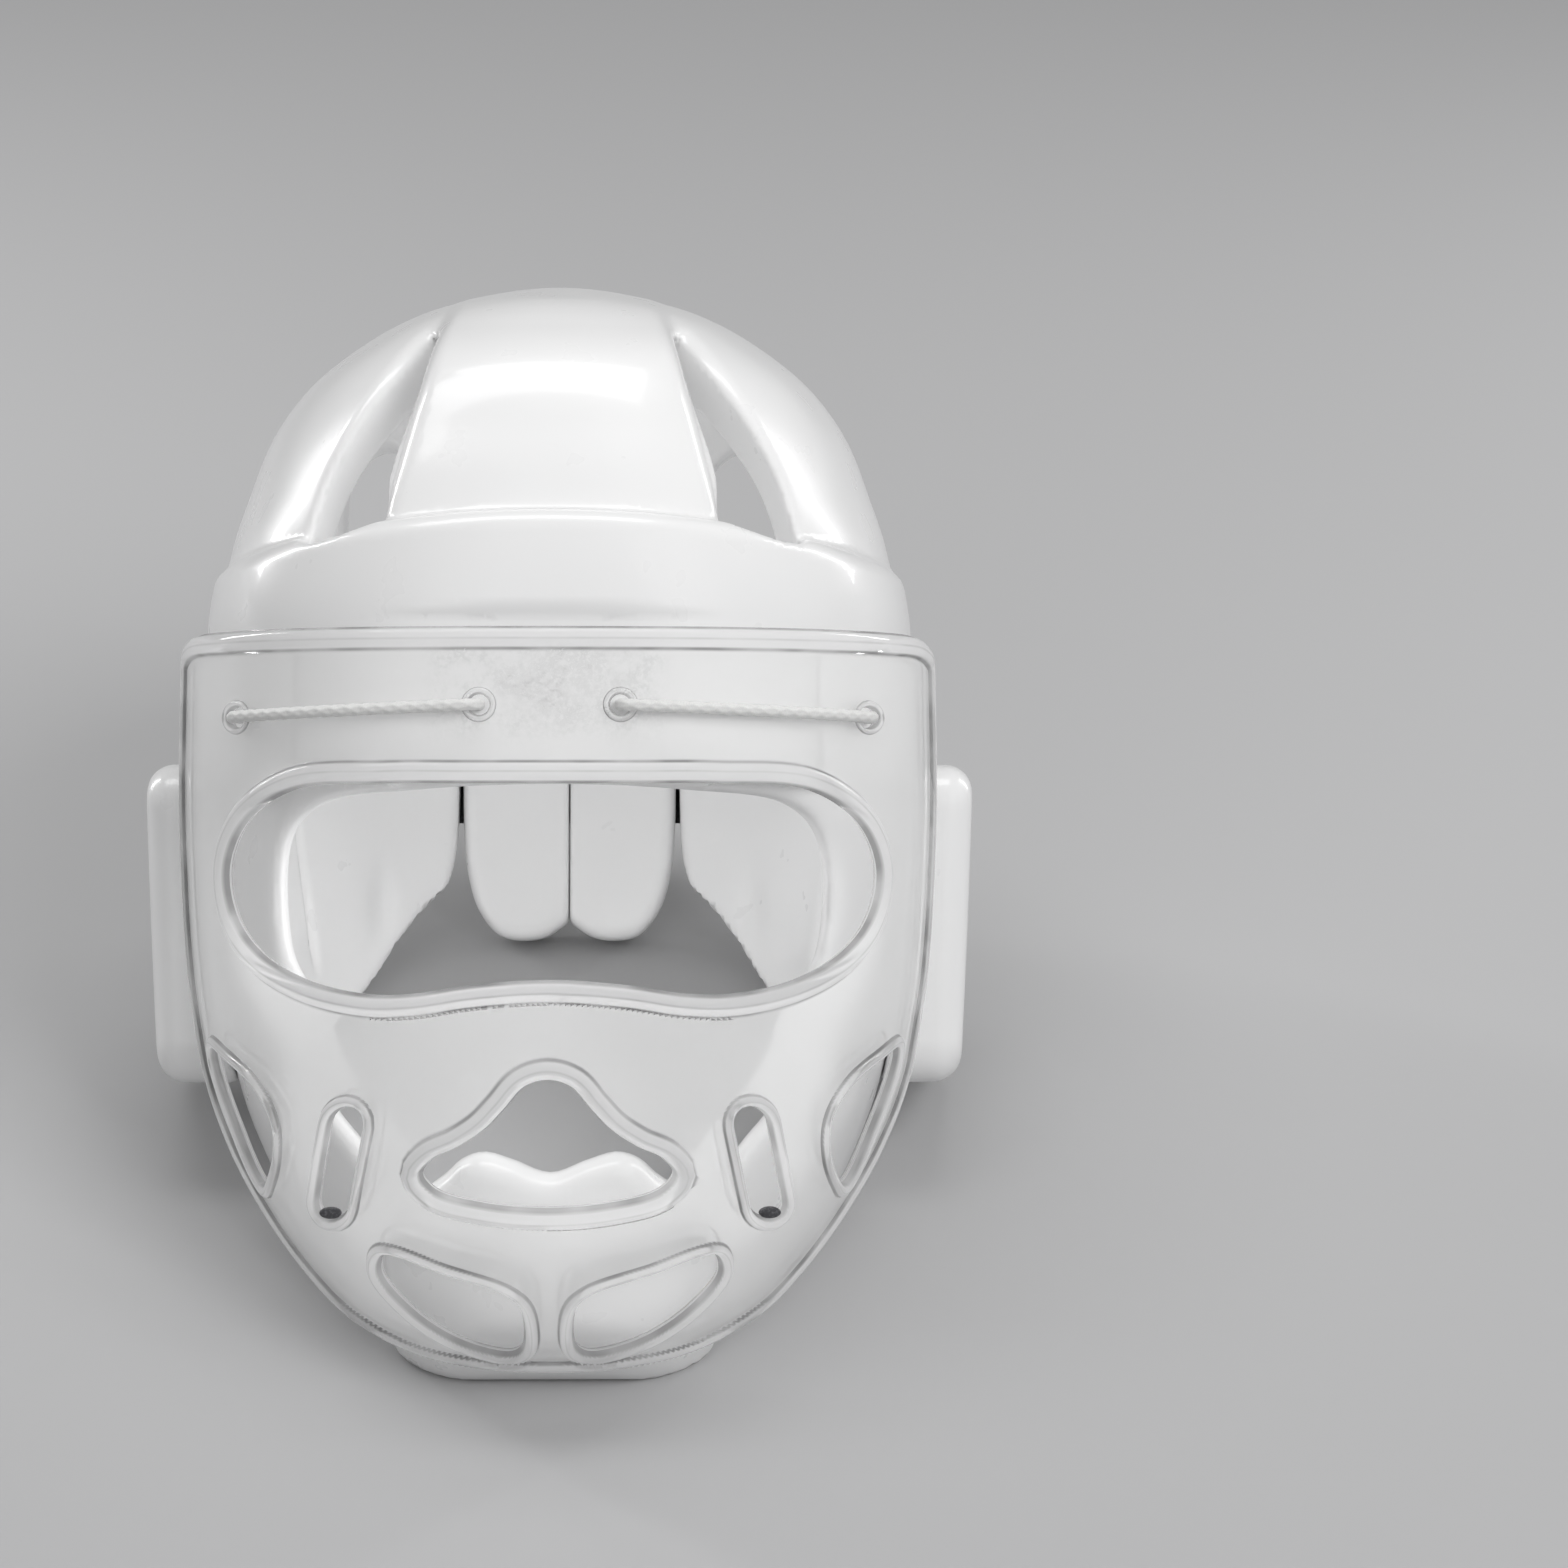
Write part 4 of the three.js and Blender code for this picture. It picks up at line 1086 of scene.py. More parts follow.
    def field(self, x: np.ndarray, y: np.ndarray, z: np.ndarray) -> np.ndarray:
        """Join, cut and round the whole skin.

        Args:
            x: Across.
            y: Towards the back.
            z: Up.

        Returns:
            The distance to it, negative in the foam.
        """
        side = np.abs(x)
        outer = self.outer.distance(x, y, z)
        half = np.interp(z, [SIZES.brow_top, SIZES.panel_top, SIZES.height], [
            SIZES.panel_half_foot, SIZES.panel_half_top, SIZES.panel_half_top - 5])
        raised = outer - SIZES.panel_proud * ease((SIZES.height - 3 - z) / self.panel_fade_top) * ease(
            (self.panel_y - y) / self.panel_fade_back)
        panel = round_cut(raised, (side - half) * 0.95, self.panel_edge)
        solid = round_join(outer, panel, self.crease)
        edges = round_cut(z - self.brow_top(x), SIZES.brow_bottom - z, self.seam_edge)
        band = round_cut(self.proud.distance(x, y, z), np.maximum(edges, y - SIZES.brow_end), self.brow_edge)
        relief = np.maximum(z - self.shield_lip_z, 0) * self.shield_lip_slope
        band = round_cut(band, self.shield.distance(x, y, z) + self.shield_gap - relief, self.shield_edge)
        solid = round_join(solid, band, self.crease)
        solid = round_cut(solid, -self._inside(x, y, z), self.seam_edge)
        face = np.maximum(self.face.distance(side, z), y)
        solid = round_cut(solid, -face, self.opening_edge)
        solid = round_cut(solid, -self.jaw.distance(y, z), self.jaw_edge)
        solid = round_cut(solid, -self._front_vent(side, y, z), self.vent_edge)
        rear_vent = np.maximum(self.rear_vent.distance(side, z), self.rear_vent_y - y)
        solid = round_cut(solid, -rear_vent, self.vent_edge)
        solid = round_cut(solid, -np.maximum(self.gap.distance(side, z), SIZES.back / 5 - y), self.gap_edge)
        return round_cut(solid, -self.seat.above_floor(y, z), self.rest_edge)

    def make(self, finish: bpy.types.Material) -> None:
        """Build the skin."""
        skin = skin_field(self.field, self.low, self.high, self.cell)
        nodes = ["crown", "brow_band", "side_panel_left", "side_panel_right", "chin_pad"]
        self.seat.piece("foam_shell", skin, finish, "foam_skin", nodes)


def lobe_outline(with_gap: bool) -> np.ndarray:
    """The right nape lobe from behind.

    Args:
        with_gap: Whether to widen it by the gap beside it.

    Returns:
        Its outline, x and z.
    """
    half, foot = SIZES.nape_half, SIZES.gap_foot if with_gap else 0.0
    top = SIZES.crown_bottom + (0.5 if with_gap else -0.15)
    drop = SIZES.nape_bottom / 2 if with_gap else 0.0
    wide = half + (SIZES.gap_top if with_gap else 0.0)

    def rise(share: float) -> float:
        """A height above the lobe's lower end."""
        return SIZES.nape_bottom + share * half - drop

    edge = np.array([
        (wide, top), (wide, rise(1.1) + drop), (half * 0.97 + foot * 0.7, rise(0.7) + drop * 0.7),
        (half * 0.86 + foot, rise(0.3)), (half * 0.66 + foot, rise(0.05)), (half * 0.45, rise(0)),
        (half * 0.22, rise(0.03)), (0.15, rise(SIZES.nape_notch / half)),
    ])
    return np.vstack([smooth_line(edge, False), (-20, edge[-1, 1]), (-20, top)])


@dataclass
class NapeLobe:
    """One of the two foam lobes that hang at the nape."""

    seat: Seat
    hand: Hand
    foam: FoamSkin
    low: tuple[float, ...] = (-2.0, 50.0, 102.0)
    high: tuple[float, ...] = (35.0, 117.0, 198.0)
    cell: float = 1.3
    foot_edge: float = 5.0
    seam_edge: float = 1.4
    rest_edge: float = 0.6

    def __post_init__(self) -> None:
        """Lay out the lobe's outline from behind."""
        self.outline = FlatOutline(lobe_outline(with_gap=False))

    def field(self, x: np.ndarray, y: np.ndarray, z: np.ndarray) -> np.ndarray:
        """The lobe's distance, negative in the foam."""
        side = x * self.hand.value
        lobe = round_cut(self.foam.wall(x, y, z), self.outline.distance(side, z), self.foot_edge)
        lobe = round_cut(lobe, SIZES.clearance / 2 - side, self.seam_edge)
        top = SIZES.crown_bottom - SIZES.clearance / 2
        lobe = round_cut(lobe, z - top, self.seam_edge)
        return round_cut(lobe, -self.seat.above_floor(y, z), self.rest_edge)

    def make(self, finish: bpy.types.Material) -> None:
        """Build the lobe."""
        skin = skin_field(self.field, *on_hand(self.low, self.high, self.hand), self.cell)
        name = f"rear_lobe_{self.hand.word}"
        self.seat.piece(f"nape_{self.hand.word}", skin, finish, "foam_skin", [name])


@dataclass
class EarPad:
    """The thick pad that stands out over one ear."""

    seat: Seat
    hand: Hand
    foam: FoamSkin
    low: tuple[float, ...] = (80.0, -26.0, 68.0)
    high: tuple[float, ...] = (114.0, 42.0, 160.0)
    cell: float = 1.6
    front: float = -23.0
    back: float = 39.0
    bottom: float = 71.0
    top: float = 157.0
    proud: float = 19.0
    slant: float = 3.5
    corner: float = 12.0
    edge: float = 8.0
    dip_y: float = 8.0
    dip_z: float = 114.0
    dip_half: float = 26.0
    dip_tall: float = 36.0
    dip_depth: float = 0.6
    seam_edge: float = 2.0
    brow_edge: float = 1.5

    @classmethod
    def middle(cls) -> np.ndarray:
        """The pad's middle, x left at 0."""
        return np.array([0.0, (cls.front + cls.back) / 2, (cls.bottom + cls.top) / 2])

    def field(self, x: np.ndarray, y: np.ndarray, z: np.ndarray) -> np.ndarray:
        """Round a block, dip its face a little and seat it over the foam.

        Args:
            x: Across.
            y: Towards the back.
            z: Up.

        Returns:
            The distance to the pad, negative in the foam.
        """
        out = SIZES.half_width + self.proud - self.slant * (self.top - z) / (self.top - self.bottom)
        ahead = np.abs(y - (self.front + self.back) / 2) - (self.back - self.front) / 2
        above = np.abs(z - (self.bottom + self.top) / 2) - (self.top - self.bottom) / 2
        plan = round_corner(ahead, above, self.corner)
        pad = round_corner(plan, x * self.hand.value - out, self.edge)
        dip = ((y - self.dip_y) / self.dip_half) ** 2 + ((z - self.dip_z) / self.dip_tall) ** 2
        pad = pad + self.dip_depth * (1 - np.exp(-dip))
        gap = SIZES.clearance + 0.1
        pad = round_cut(pad, gap - self.foam.outer.distance(x, y, z), self.seam_edge)
        beside = np.maximum(self.foam.proud.distance(x, y, z), np.maximum(
            SIZES.brow_bottom - z, y - SIZES.brow_end))
        return round_cut(pad, gap - beside, self.brow_edge)

    def make(self, finish: bpy.types.Material) -> None:
        """Build the pad."""
        skin = skin_field(self.field, *on_hand(self.low, self.high, self.hand), self.cell)
        name = f"ear_pad_{self.hand.word}"
        self.seat.piece(f"ear_cushion_{self.hand.word}", skin, finish, "foam_skin", [name])


# Shield


@dataclass(frozen=True)
class ShieldSizes:
    """Millimetres of the clear shield."""

    half: float = SIZES.half_width + 7.5
    top: float = 189.0
    height: float = 186.0
    muzzle: float = 36.0
    sheet: float = 2.2
    edge: float = -30.0
    corner: float = 8.0

    @property
    def foot(self) -> float:
        """The lower rim."""
        return self.top - self.height


SHIELD = ShieldSizes()


class HoleBox(NamedTuple):
    """The millimetres that an opening takes up on the right half, across or back, and up."""

    left: float
    right: float
    bottom: float
    top: float

    def on(self, hand: Hand) -> "HoleBox":
        """The same box on either half."""
        return self._replace(left=self.left * hand.value, right=self.right * hand.value)


EYE_HOLE = HoleBox(0.0, 83.2, 98.0, 151.0)
MOUTH_HOLE = HoleBox(0.0, 31.3, 46.2, 78.2)
CHIN_VENT = HoleBox(6.3, 43.0, 8.8, 34.6)
SIDE_SLOT = HoleBox(-60.0, -98.0, 48.5, 82.0)


@dataclass(frozen=True)
class SlotSizes:
    """Millimetres of the slanted slots beside the mouth, x and z at their middle."""

    x: float = 52.0
    z: float = 56.5
    length: float = 29.5
    width: float = 9.6
    lean: float = 0.2


SLOT = SlotSizes()


def shield_stack() -> SectionStack:
    """The shield's outer surface."""
    return SectionStack(np.array([
        (
            SHIELD.foot + row.level * SHIELD.height,
            row.side * SHIELD.half,
            SIZES.front + row.reach * SHIELD.muzzle,
            SIZES.back,
            row.square,
        )
        for row in SHIELD_SECTIONS
    ]))


class Rim(NamedTuple):
    """A rolled rim: its width, its height off the sheet and the spacing of points along it."""

    width: float
    lip: float
    spacing: float

    def profile(self, share: float) -> tuple[float, float]:
        """The rim's form at a share of the way across it.

        Args:
            share: 0 at the edge and 1 at the rim's foot on the sheet.

        Returns:
            Its height off the sheet and how steeply it rises there.
        """
        arc = math.sqrt(max(0.0, 1 - (2 * share - 1) ** 2)) if share < 1 else 0.0
        steep = self.lip * (1 - 2 * share) / max(arc, STEEPEST) * 2 / self.width
        return self.lip * arc, steep if share <= 1 else 0.0


class RimPlace(Enum):
    """Where a rim runs, with its form."""

    OUTLINE = Rim(5.2, 1.7, 1.6)
    EYE = Rim(5.0, 1.9, 1.4)
    MOUTH = Rim(5.2, 1.9, 1.2)
    VENT = Rim(3.4, 1.6, 1.1)
    SLOT = Rim(2.9, 1.5, 0.9)
    SIDE_SLOT = Rim(3.2, 1.5, 1.1)
    EYELET = Rim(1.3, 0.9, 0.7)


@dataclass
class FaceShield:
    """The clear moulded shield with its rolled rims and all its openings."""

    seat: Seat
    round_size: float = 105.0
    filling: float = 3.2
    row_share: float = 0.87
    clear_share: float = 0.62
    reach: float = 140.0
    edge_round: float = 0.45
    frost_half: float = 34.0
    frost_bottom: float = 159.0
    frost_top: float = 187.0
    shares: tuple[float, ...] = (0.0, 0.05, 0.16, 0.32, 0.5, 0.68, 0.84, 0.95, 1.0, 1.16)
    plain: tuple[float, ...] = (0.0, ON_SHEET, 0.0, 0.0, 0.0)

    def __post_init__(self) -> None:
        """Lay out the surface."""
        self.stack = shield_stack()

    def flatten(self, points: np.ndarray) -> np.ndarray:
        """Points near the surface as turn and height, both in millimetres."""
        turn = np.arctan2(points[:, 0], -points[:, 1]) * self.round_size
        return np.stack([turn, points[:, 2]], axis=1)

    def lift(self, flat: np.ndarray) -> np.ndarray:
        """Turn and height back onto the surface."""
        angle, z = flat[:, 0] / self.round_size, flat[:, 1]
        side, front, n = self.stack.profile(z)
        s, c = np.sin(angle), np.cos(angle)
        reach = (np.abs(s / side) ** n + np.abs(c / front) ** n) ** (-1 / n)
        return np.stack([reach * s, -reach * c, z], axis=1)

    def normals(self, points: np.ndarray) -> np.ndarray:
        """The outward direction at points of the surface."""
        _, nx, ny, nz = self.stack.measure(*points.T)
        normal = np.stack([nx, ny, nz], axis=1)
        return normal / np.linalg.norm(normal, axis=1, keepdims=True)

    def from_front(self, outline: np.ndarray) -> np.ndarray:
        """An outline drawn from the front, on the surface."""
        x, z = outline.T
        return np.stack([x, self.stack.front_y(x, z), z], axis=1)

    def from_side(self, outline: np.ndarray, hand: Hand) -> np.ndarray:
        """An outline drawn from the side, y and z, on the surface."""
        y, z = outline.T
        side, front, n = self.stack.profile(z)
        x = side * (1 - np.clip(-y / front, 0, 1) ** n) ** (1 / n)
        return np.stack([hand.value * x, y, z], axis=1)

    def outline(self) -> np.ndarray:
        """The shield's own edge: top rim, round upper corners, sides swept down to the chin."""
        shares = np.array([
            (1.0, 0.79), (0.98, 0.57), (0.945, 0.463), (0.91, 0.367), (0.834, 0.277), (0.744, 0.202),
            (0.643, 0.133), (0.533, 0.075), (0.44, 0.048), (0.32, 0.024), (0.18, 0.012), (0.0, 0.009),
        ])
        lower = shares * (SHIELD.half, SHIELD.height) + (0, SHIELD.foot)
        turn = np.linspace(math.pi / 2, 0, 9)
        c = SHIELD.corner
        corner = np.stack([SHIELD.half - c + c * np.cos(turn), SHIELD.top - c + c * np.sin(turn)], axis=1)
        lower[0] = (SHIELD.half, lower[0, 1])
        half = np.vstack([[(0.0, SHIELD.top), (45.0, SHIELD.top)], corner, smooth_line(lower, False)])
        half = evenly(half, 1.0, False)
        profile = np.array([(0.0, 0.45), (0.1, 0.34), (0.3, 0.21), (0.55, 0.1), (0.8, 0.02), (0.9, 0.0)])
        levels = SHIELD.foot + profile[:, 1] * SHIELD.height
        backs = SHIELD.edge - profile[:, 0] * (SIZES.front + SHIELD.edge)
        z = half[:, 1]
        limit = np.interp(z, levels[::-1], backs[::-1])
        over = np.clip((z - (SHIELD.top - c)) / c, 0, 1)
        limit = limit - c * (1 - np.sqrt(1 - over ** 2))
        y = np.minimum(self.stack.front_y(half[:, 0], z), limit)
        side = self.from_side(np.stack([y, z], axis=1), Hand.RIGHT)
        keep = self.stack.front_y(half[:, 0], z) < limit
        side[keep, 0] = half[keep, 0]
        flat = self.flatten(side)
        ring = mirrored(np.where(flat < 0.2, np.maximum(flat, 0), flat))
        ring = evenly(ring, RimPlace.OUTLINE.value.spacing, True)
        for _ in range(6):
            ring = 0.5 * ring + 0.25 * (np.roll(ring, 1, axis=0) + np.roll(ring, -1, axis=0))
        return self.lift(ring)

    def openings(self) -> list[tuple[RimPlace, np.ndarray]]:
        """Every opening as a kind of rim and its edge on the surface."""
        eye = np.array([
            (0.0, 1.0), (0.25, 1.0), (0.49, 1.0), (0.78, 0.97), (0.94, 0.81), (1.0, 0.59), (0.97, 0.35),
            (0.88, 0.18), (0.73, 0.06), (0.54, 0.0), (0.4, 0.005), (0.23, 0.045), (0.0, 0.07),
        ])
        mouth = np.array([
            (0.0, 1.0), (0.18, 0.95), (0.34, 0.78), (0.49, 0.63), (0.69, 0.5), (0.9, 0.4), (1.0, 0.27),
            (0.885, 0.135), (0.49, 0.036), (0.0, 0.0),
        ])
        vent = np.array([
            (0.94, 1.0), (0.5, 0.84), (0.1, 0.65), (0.01, 0.5), (0.0, 0.1), (0.08, 0.0), (0.42, 0.1),
            (0.78, 0.42), (0.99, 0.79),
        ])
        side_slot = np.array([
            (0.0, 1.0), (0.5, 0.93), (0.88, 0.75), (1.0, 0.54), (0.9, 0.3), (0.62, 0.09), (0.27, 0.0),
            (0.14, 0.4),
        ])
        found = []
        for place, shares, box in ((RimPlace.EYE, eye, EYE_HOLE), (RimPlace.MOUTH, mouth, MOUTH_HOLE)):
            whole = mirrored(in_box(shares, *box))
            found.append((place, self.from_front(smooth_line(whole, True))))
        half_turn = np.linspace(0, math.pi, 9)
        whole_turn = np.linspace(0, 2 * math.pi, 28, endpoint=False)
        radius, straight = SLOT.width / 2, (SLOT.length - SLOT.width) / 2
        for hand in Hand:
            s = hand.value
            edge = in_box(vent, *CHIN_VENT.on(hand))
            found.append((RimPlace.VENT, self.from_front(smooth_line(edge, True))))
            slot = np.vstack([
                radius * np.stack([np.cos(half_turn + up), np.sin(half_turn + up)], axis=1)
                + (0.0, straight * math.cos(up))
                for up in (0, math.pi)
            ])
            slot = slot + (SLOT.x * s, SLOT.z) - np.outer(slot[:, 1], (SLOT.lean * s, 0))
            found.append((RimPlace.SLOT, self.from_front(evenly(slot, 0.6, True))))
            plan = smooth_line(in_box(side_slot, *SIDE_SLOT), True)
            found.append((RimPlace.SIDE_SLOT, self.from_side(plan, hand)))
            for x, z in Lace.EYELETS:
                ring = Lace.EYELET_RADIUS * np.stack([np.cos(whole_turn), np.sin(whole_turn)], axis=1)
                found.append((RimPlace.EYELET, self.from_front(ring + (x * s, z))))
        return found

    def _set_out(self, place: RimPlace, loop: np.ndarray) -> tuple[np.ndarray, np.ndarray]:
        """Space an edge evenly on the surface, and find the way from it onto the sheet.

        Args:
            place: The rim that runs along it.
            loop: Its points.

        Returns:
            The spaced points, and the direction onto the sheet at each of them.
        """
        loop = self.lift(self.flatten(evenly(loop, place.value.spacing, True)))
        turn, z = self.flatten(loop).T
        if (turn * np.roll(z, -1) - np.roll(turn, -1) * z).sum() < 0:
            loop = loop[::-1]
        along = np.roll(loop, -1, axis=0) - np.roll(loop, 1, axis=0)
        along /= np.linalg.norm(along, axis=1, keepdims=True)
        away = np.cross(along, self.normals(loop))
        if place is RimPlace.OUTLINE:
            away = -away
        return loop, away / np.linalg.norm(away, axis=1, keepdims=True)

    def build(self) -> SkinMesh:
        """Mesh the shield as one closed sheet with rolled rims."""
        loops = [(RimPlace.OUTLINE, self.outline())] + self.openings()
        flats, forms, owners, edges, rings = [], [], [], [], []
        count = 0
        for owner, (place, loop) in enumerate(loops):
            loop, away = self._set_out(place, loop)
            ids = np.arange(count, count + len(loop))
            edges.append(np.stack([ids, np.roll(ids, -1)], axis=1))
            rings.append((place, ids, -away))
            for share in self.shares:
                height, steep = place.value.profile(share)
                flats.append(self.flatten(loop + away * (place.value.width * share)))
                level = np.tile([height, share], (len(loop), 1))
                forms.append(np.hstack([level, -steep * away]))
                owners.append(np.full(len(loop), owner))
                count += len(loop)
        rims, made = np.vstack(flats), np.vstack(forms)
        keep = self._own_ground(rims, np.concatenate(owners), made[:, 1] == 0)
        renumber = np.cumsum(keep) - 1
        rings = [(place, renumber[ids], away) for place, ids, away in rings]
        rims, made = rims[keep], made[keep]
        inner = self._filling(rims)
        flat = np.vstack([rims, inner])
        marks = np.vstack([made, np.tile(self.plain, (len(inner), 1))])
        triangles, flat, marks = self._triangles(flat, renumber[np.vstack(edges)], marks, rings)
        height, across, tilt = marks[:, 0], marks[:, 1], marks[:, 2:]
        surface = self.lift(flat)
        normal = self.normals(surface)
        front = surface + normal * height[:, None]
        front_normal = normal + tilt
        front_normal /= np.linalg.norm(front_normal, axis=1, keepdims=True)
        return self._close(surface, normal, front, front_normal, across, triangles, rings)

    def _own_ground(self, rims: np.ndarray, owners: np.ndarray, on_edge: np.ndarray) -> np.ndarray:
        """Find the rim points that are nearer to their own edge than to another rim's.

        Args:
            rims: The rims' points, turn and height.
            owners: The number of the edge that each belongs to.
            on_edge: Whether each lies on its edge.

        Returns:
            Whether each is kept, so that two rims meet in a crease.
        """
        numbers = np.flatnonzero(on_edge)
        tree = KDTree(len(numbers))
        for number in numbers:
            tree.insert((*rims[number], 0.0), int(number))
        tree.balance()
        nearest = np.array([tree.find((turn, z, 0.0))[1] for turn, z in rims])
        return on_edge | (owners[nearest] == owners)

    def _filling(self, rims: np.ndarray) -> np.ndarray:
        """Fill the sheet between the rims.

        Args:
            rims: The rims' points, turn and height.

        Returns:
            Points on a staggered grid, clear of the rims.
        """
        pitch = self.filling
        turns = np.arange(-self.reach, self.reach, pitch)
        heights = np.arange(SHIELD.foot, SHIELD.top, pitch * self.row_share)
        rows = enumerate(heights)
        grid = np.array([(turn + (row % 2) * pitch / 2, z) for row, z in rows for turn in turns])
        tree = KDTree(len(rims))
        for number, (turn, z) in enumerate(rims):
            tree.insert((turn, z, 0.0), number)
        tree.balance()
        nearest = pitch * self.clear_share
        clear = np.array([tree.find((turn, z, 0.0))[2] > nearest for turn, z in grid])
        return grid[clear]

    def _triangles(self, flat: np.ndarray, edges: np.ndarray, marks: np.ndarray,
                   rings: list) -> tuple[np.ndarray, ...]:
        """Triangulate the flat points and keep what lies in the sheet.

        Args:
            flat: The points, turn and height.
            edges: The edges of the sheet, as pairs of points.
            marks: Each point's height off the sheet, its share across the rim and its change of normal.
            rings: The edge loops.

        Returns:
            Triangles, points and marks.
        """
        made = delaunay_2d_cdt(flat.tolist(), edges.tolist(), [], 0, 1e-5, True)
        corners, faces, sources = np.array(made[0]), np.array(made[2]), made[3]
        first = np.array([source[0] if source else -1 for source in sources])
        LOG.info("shield triangulation: %d points, %d new", len(corners), int((first < 0).sum()))
        middles = corners[faces].mean(axis=1)
        keep = np.ones(len(faces), bool)
        for place, ids, _ in rings:
            inside = within(flat[ids], *middles.T)
            keep &= inside if place is RimPlace.OUTLINE else ~inside
        back = {source: i for i, group in enumerate(sources) for source in group}
        for number, (place, ids, away) in enumerate(rings):
            rings[number] = (place, np.array([back[i] for i in ids]), away)
        marks = np.where((first < 0)[:, None], self.plain, marks[np.maximum(first, 0)])
        return faces[keep], corners, marks

    def _close(self, surface: np.ndarray, normal: np.ndarray, front: np.ndarray, front_normal: np.ndarray,
               across: np.ndarray, triangles: np.ndarray, rings: list) -> SkinMesh:
        """Add the inner face and the round edges that join both faces.

        Args:
            surface: The moulded surface's points.
            normal: The outward direction at each.
            front: The outer face's points, with the rims' height.
            front_normal: The outer face's true normals.
            across: Each point's place across its rim.
            triangles: The outer face's triangles.
            rings: The edge loops.

        Returns:
            The closed sheet.
        """
        count = len(surface)
        a, b, c = (front[triangles[:, i]] for i in range(3))
        facing = (np.cross(b - a, c - a) * front_normal[triangles[:, 0]]).sum(axis=1)
        triangles = np.where((facing < 0)[:, None], triangles[:, ::-1], triangles)
        points = [front, surface - normal * SHIELD.sheet]
        normals = [front_normal, -normal]
        faces = triangles.tolist() + (triangles[:, ::-1] + count).tolist()
        start = 2 * count
        for place, ids, hollow in rings:
            size = len(ids)
            points.append(surface[ids] - normal[ids] * SHIELD.sheet / 2 + hollow * self.edge_round)
            normals.append(hollow)
            outline = place is RimPlace.OUTLINE
            for i in range(size):
                j = (i + 1) % size
                upper = [ids[i], ids[j], start + j, start + i]
                lower = [start + i, start + j, ids[j] + count, ids[i] + count]
                for quad in (upper, lower):
                    faces.append([int(k) for k in (quad[::-1] if outline else quad)])
            start += size
        used = np.unique(np.concatenate([np.array(face) for face in faces]))
        renumber = np.full(start, -1)
        renumber[used] = np.arange(len(used))
        faces = [[int(renumber[k]) for k in face] for face in faces]
        edge = np.zeros(start - 2 * count)
        self.across = np.concatenate([across, np.full(count, ON_SHEET), edge])[used]
        return SkinMesh(np.vstack(points)[used], faces, np.vstack(normals)[used])

    def make(self, finish: bpy.types.Material) -> None:
        """Build the shield and mark its frosted patch."""
        skin = self.build()
        piece = self.seat.piece("clear_shield", skin, finish, "clear_shield", ["face_shield"])
        x, _, z = skin.points.T
        patch = ease((self.frost_half - np.abs(x)) / 14)
        patch = patch * ease((self.frost_top - z) / 5) * ease((z - self.frost_bottom) / 10)
        for name, values in (("frost", patch), ("across", self.across)):
            mark = piece.data.attributes.new(name, "FLOAT", "POINT")
            mark.data.foreach_set("value", values.astype(np.float32))


# Laces, studs and elastic


@dataclass
class Lace:
    """One braided cord that ties the shield to the brow through two eyelets."""

    EYELETS: ClassVar[tuple[tuple[float, float], ...]] = ((17.5, 170.0), (80.0, 167.5))
    EYELET_RADIUS: ClassVar[float] = 3.0

    seat: Seat
    hand: Hand
    radius: float = 1.5
    depth: float = 7.0
    pitch: float = 4.2
    strands: int = 8
    sides: int = 32

    def route(self) -> np.ndarray:
        """The cord's path, out of one hole in the brow, over the shield and into the other."""
        stack, s = shield_stack(), self.hand.value
        (inner_x, inner_z), (outer_x, outer_z) = self.EYELETS

        def over(x: float, out: float) -> np.ndarray:
            """A point over the shield at x, or straight in where out is negative."""
            z = inner_z + (outer_z - inner_z) * (x - inner_x) / (outer_x - inner_x)
            y = float(stack.front_y(np.array(x), np.array(z)))
            slope = 0.0
            if out > 0:
                slope = float(stack.front_y(np.array(x + 0.5), np.array(z)) - stack.front_y(
                    np.array(x - 0.5), np.array(z)))
            length = math.hypot(slope, 1)
            return np.array([s * (x + out * slope / length), y - out / length, z])

        proud, sunk, span = self.radius + 0.6, -(SHIELD.sheet + self.depth), outer_x - inner_x
        return np.array([
            over(inner_x, sunk), over(inner_x, -SHIELD.sheet), over(inner_x + 0.3, self.radius / 2),
            *(over(inner_x + span * share, proud) for share in (0.05, 0.2, 0.4, 0.6, 0.8, 0.94)),
            over(outer_x - 0.3, self.radius), over(outer_x, -SHIELD.sheet - 1), over(outer_x, sunk),
        ])

    def section(self, along: float, angles: np.ndarray) -> np.ndarray:
        """The braid's radii: strands that wind both ways, one over the other in turn."""
        turn = 2 * math.pi * along / self.pitch
        half = self.strands / 2
        one = np.cos(half * (angles - turn / half))
        two = np.cos(half * (angles + turn / half))
        return self.radius * (0.94 + 0.08 * np.maximum(one, two))

    def make(self, finish: bpy.types.Material) -> None:
        """Build the cord."""
        path = evenly(smooth_line(self.route(), False), 0.3, False)
        skin = sweep(path, self.section, self.sides)
        name = f"lace_{self.hand.word}"
        self.seat.piece(f"shield_lace_{self.hand.word}", skin, finish, "lace_cord", [name])


